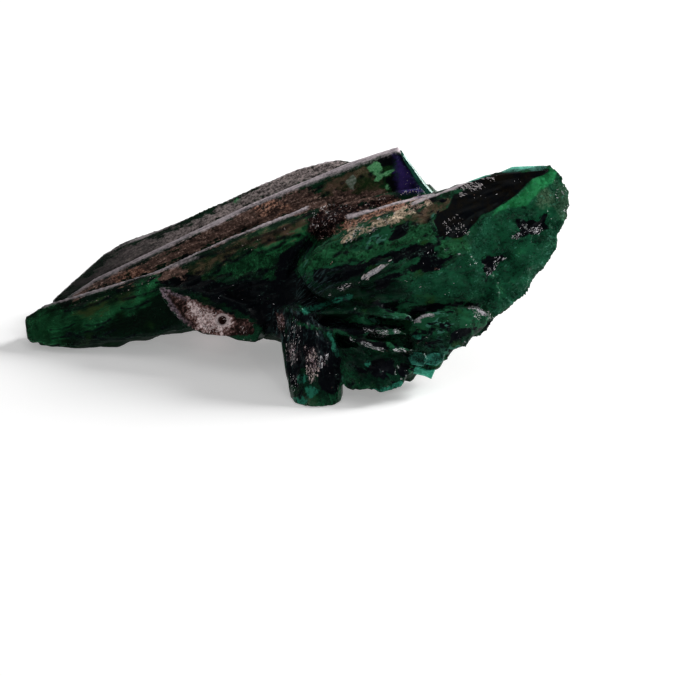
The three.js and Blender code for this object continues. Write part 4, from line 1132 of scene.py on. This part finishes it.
def crystal_material():
    """The crystals: clear where nothing coats them."""
    g = Crystal()
    for part in (clear_green, cloudy_green, black_inclusions_and_painted_shade, brown_bands, grey_haze, dusty_wedge,
                 frosted_ridges, blooms_and_painted_glints):
        part(g)
    solid = g.most(*g.opaque)
    rough = g.ramp(g.most(*g.matt), 0.0, 1.0, 0.18, 0.75)
    coarse = g.minus(g.zones.face)
    normal = g.bump(g.both(g.streak, g.fan, coarse), 0.3, 0.2)
    normal = g.bump(g.both(g.fine_streak, coarse), 0.2, 0.06, normal)
    normal = g.bump(g.both(g.speck, coarse, g.ramp(solid, 0.0, 1.0, 0.3, 1.0)), 0.25, 0.08, normal)
    inputs = {
        "Base Color": g.colour,
        "Transmission Weight": g.both(g.minus(solid), 0.88),
        "Roughness": g.math("ADD", rough, g.ramp(g.patch, 0.3, 0.7, 0.0, 0.1)),
        "IOR": AXINITE_IOR,
        "Specular IOR Level": 0.1,
        "Specular Tint": "gloss",
        "Normal": normal,
    }
    return g.finished(inputs, absorbed=((0.0, 0.76, 0.45), 600.0))


def sliver_material():
    """Frosted grains, from white to a rusty pink."""
    g = Graph("frosted_slivers")
    place, tint = g.place(), g.mark("tint")
    grain = g.noise(place, 3.0, 3)
    shade = g.total(g.mark("tone"), (g.centred(grain), 0.8))
    light, dull = g.blend(tint, *TONES["light_grain"]), g.blend(tint, *TONES["dull_grain"])
    return g.finished({
        "Base Color": g.blend(g.ramp(shade, 0.15, 0.85), dull, light),
        "Roughness": g.ramp(grain, 0.3, 0.7, 0.3, 0.6),
        "Normal": g.bump(g.noise(place, 9.0, 2), 0.3, 0.05),
        "IOR": 1.55,
    })


def plate_material(name, clear):
    """Green crystal with cloudy veils, clearer between them."""
    g = Graph(name)
    place = g.place()
    veil = g.noise(place, 0.8, 4, 0.6)
    fleck = g.noise(place, 3.5, 3, 0.6)
    colour = g.shade(name, g.total(veil, (g.cells(place, 1.1)[0], 0.35)), 0.4, 0.95)
    inputs = {
        "Base Color": g.blend(g.ramp(fleck, 0.62, 0.72), colour, TONES[name][1]),
        "Transmission Weight": g.ramp(veil, 0.35, 0.65, clear, clear / 2),
        "Roughness": g.ramp(fleck, 0.3, 0.7, 0.08, 0.3),
        "Normal": g.bump(veil, 0.3, 0.15),
        "IOR": AXINITE_IOR,
        "Specular Tint": "plate_gloss",
    }
    return g.finished(inputs, absorbed=((0.1, 0.85, 0.7), 300.0))


def crest_material(name):
    """The near-black of the striated face."""
    g = Graph(name)
    patch = g.noise(g.place(), 0.55, 4, 0.6)
    return g.finished({
        "Base Color": g.shade(name, patch, 0.35, 0.65),
        "Roughness": g.ramp(patch, 0.3, 0.7, 0.1, 0.25),
        "Specular Tint": "gloss",
    })


def floor_material():
    """Matt white that glows a little."""
    g = Graph("glowing_acrylic")
    return g.finished({
        "Base Color": (0.85, 0.85, 0.85),
        "Roughness": 0.9,
        "Specular IOR Level": 0.0,
        "Emission Color": (1, 1, 1),
        "Emission Strength": 0.3,
    })


def looking(item, place, target):
    """Puts a lamp or a camera in its place and turns it to its target."""
    item.location = place
    item.rotation_euler = (Vector(target) - Vector(place)).to_track_quat("-Z", "Y").to_euler()
    bpy.context.scene.collection.objects.link(item)


def area_light(name, watts, size, place):
    lamp = bpy.data.lights.new(name, "AREA")
    lamp.energy = watts
    lamp.shape = "DISK"
    lamp.size = size
    light = bpy.data.objects.new(name, lamp)
    light.visible_camera = False
    looking(light, place, (0, 0, 0.01))


def studio():
    """The floor, three lamps and a grey surrounding. Its sizes are in metres."""
    half, drop = 6.0, 0.0001
    corners = [(-half, -half, 0), (half, -half, 0), (half, half, 0), (-half, half, 0)]
    floor = mesh_object("floor", np.array(corners) / MM - (0, 0, drop / MM), [(0, 1, 2), (0, 2, 3)])
    floor.data.materials.append(floor_material())
    area_light("overhead", 0.9, 0.9, (-0.1, 0.1, 0.9))
    area_light("key", 30.0, 0.65, (1.15, 0.55, 0.7))
    area_light("front", 0.25, 0.1, (0.3, -0.6, 0.5))
    world = bpy.data.worlds.new("world")
    world.use_nodes = True
    world.node_tree.nodes["Background"].inputs["Color"].default_value = (0.2, 0.2, 0.2, 1)
    bpy.context.scene.world = world
    bpy.context.scene.view_settings.view_transform = "Standard"


def camera():
    """Looks along the view, with the middle of the picture 30 pixels to the right of the front foot."""
    pixel, width, height = 0.165, 700, 676
    foot_pixel = (320, 405)
    lens, sensor = 600, 36
    middle = [(width / 2 - foot_pixel[0]) * pixel, 12, (foot_pixel[1] - height / 2) * pixel]
    distance = width * pixel * lens / sensor
    target, place = to_frame([middle, [middle[0], middle[1] - distance, middle[2]]]) * MM
    eye = bpy.data.objects.new("camera", bpy.data.cameras.new("camera"))
    eye.data.lens = lens
    eye.data.sensor_width = sensor
    eye.data.clip_end = 50
    looking(eye, place, target)
    bpy.context.scene.camera = eye


def finished_piece(piece, material):
    """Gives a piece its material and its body."""
    piece.data.materials.append(material)
    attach(piece, "root")


camera()
studio()
points, faces, marks, grain = crystal_mesh()
crystals = mesh_object("axinite_crystals", points, faces, marks, grain, SHARP)
finished_piece(crystals, crystal_material())
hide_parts(NODE)

plate_meshes = [plate_mesh(near, far, text) for _, _, near, far, text in PLATES]
slivers = mesh_object("frosted_slivers", *sliver_mesh(joined([(points, faces), *plate_meshes])))
outward(slivers)
finished_piece(slivers, sliver_material())

plate_looks = {name: plate_material(name, clear) for name, clear in CLEARNESS.items()}
plate_looks["striated_black"] = crest_material("striated_black")
for (name, look, _, _, _), (points, faces) in zip(PLATES, plate_meshes):
    plate = mesh_object(name, points, faces)
    outward(plate)
    finished_piece(plate, plate_looks[look])
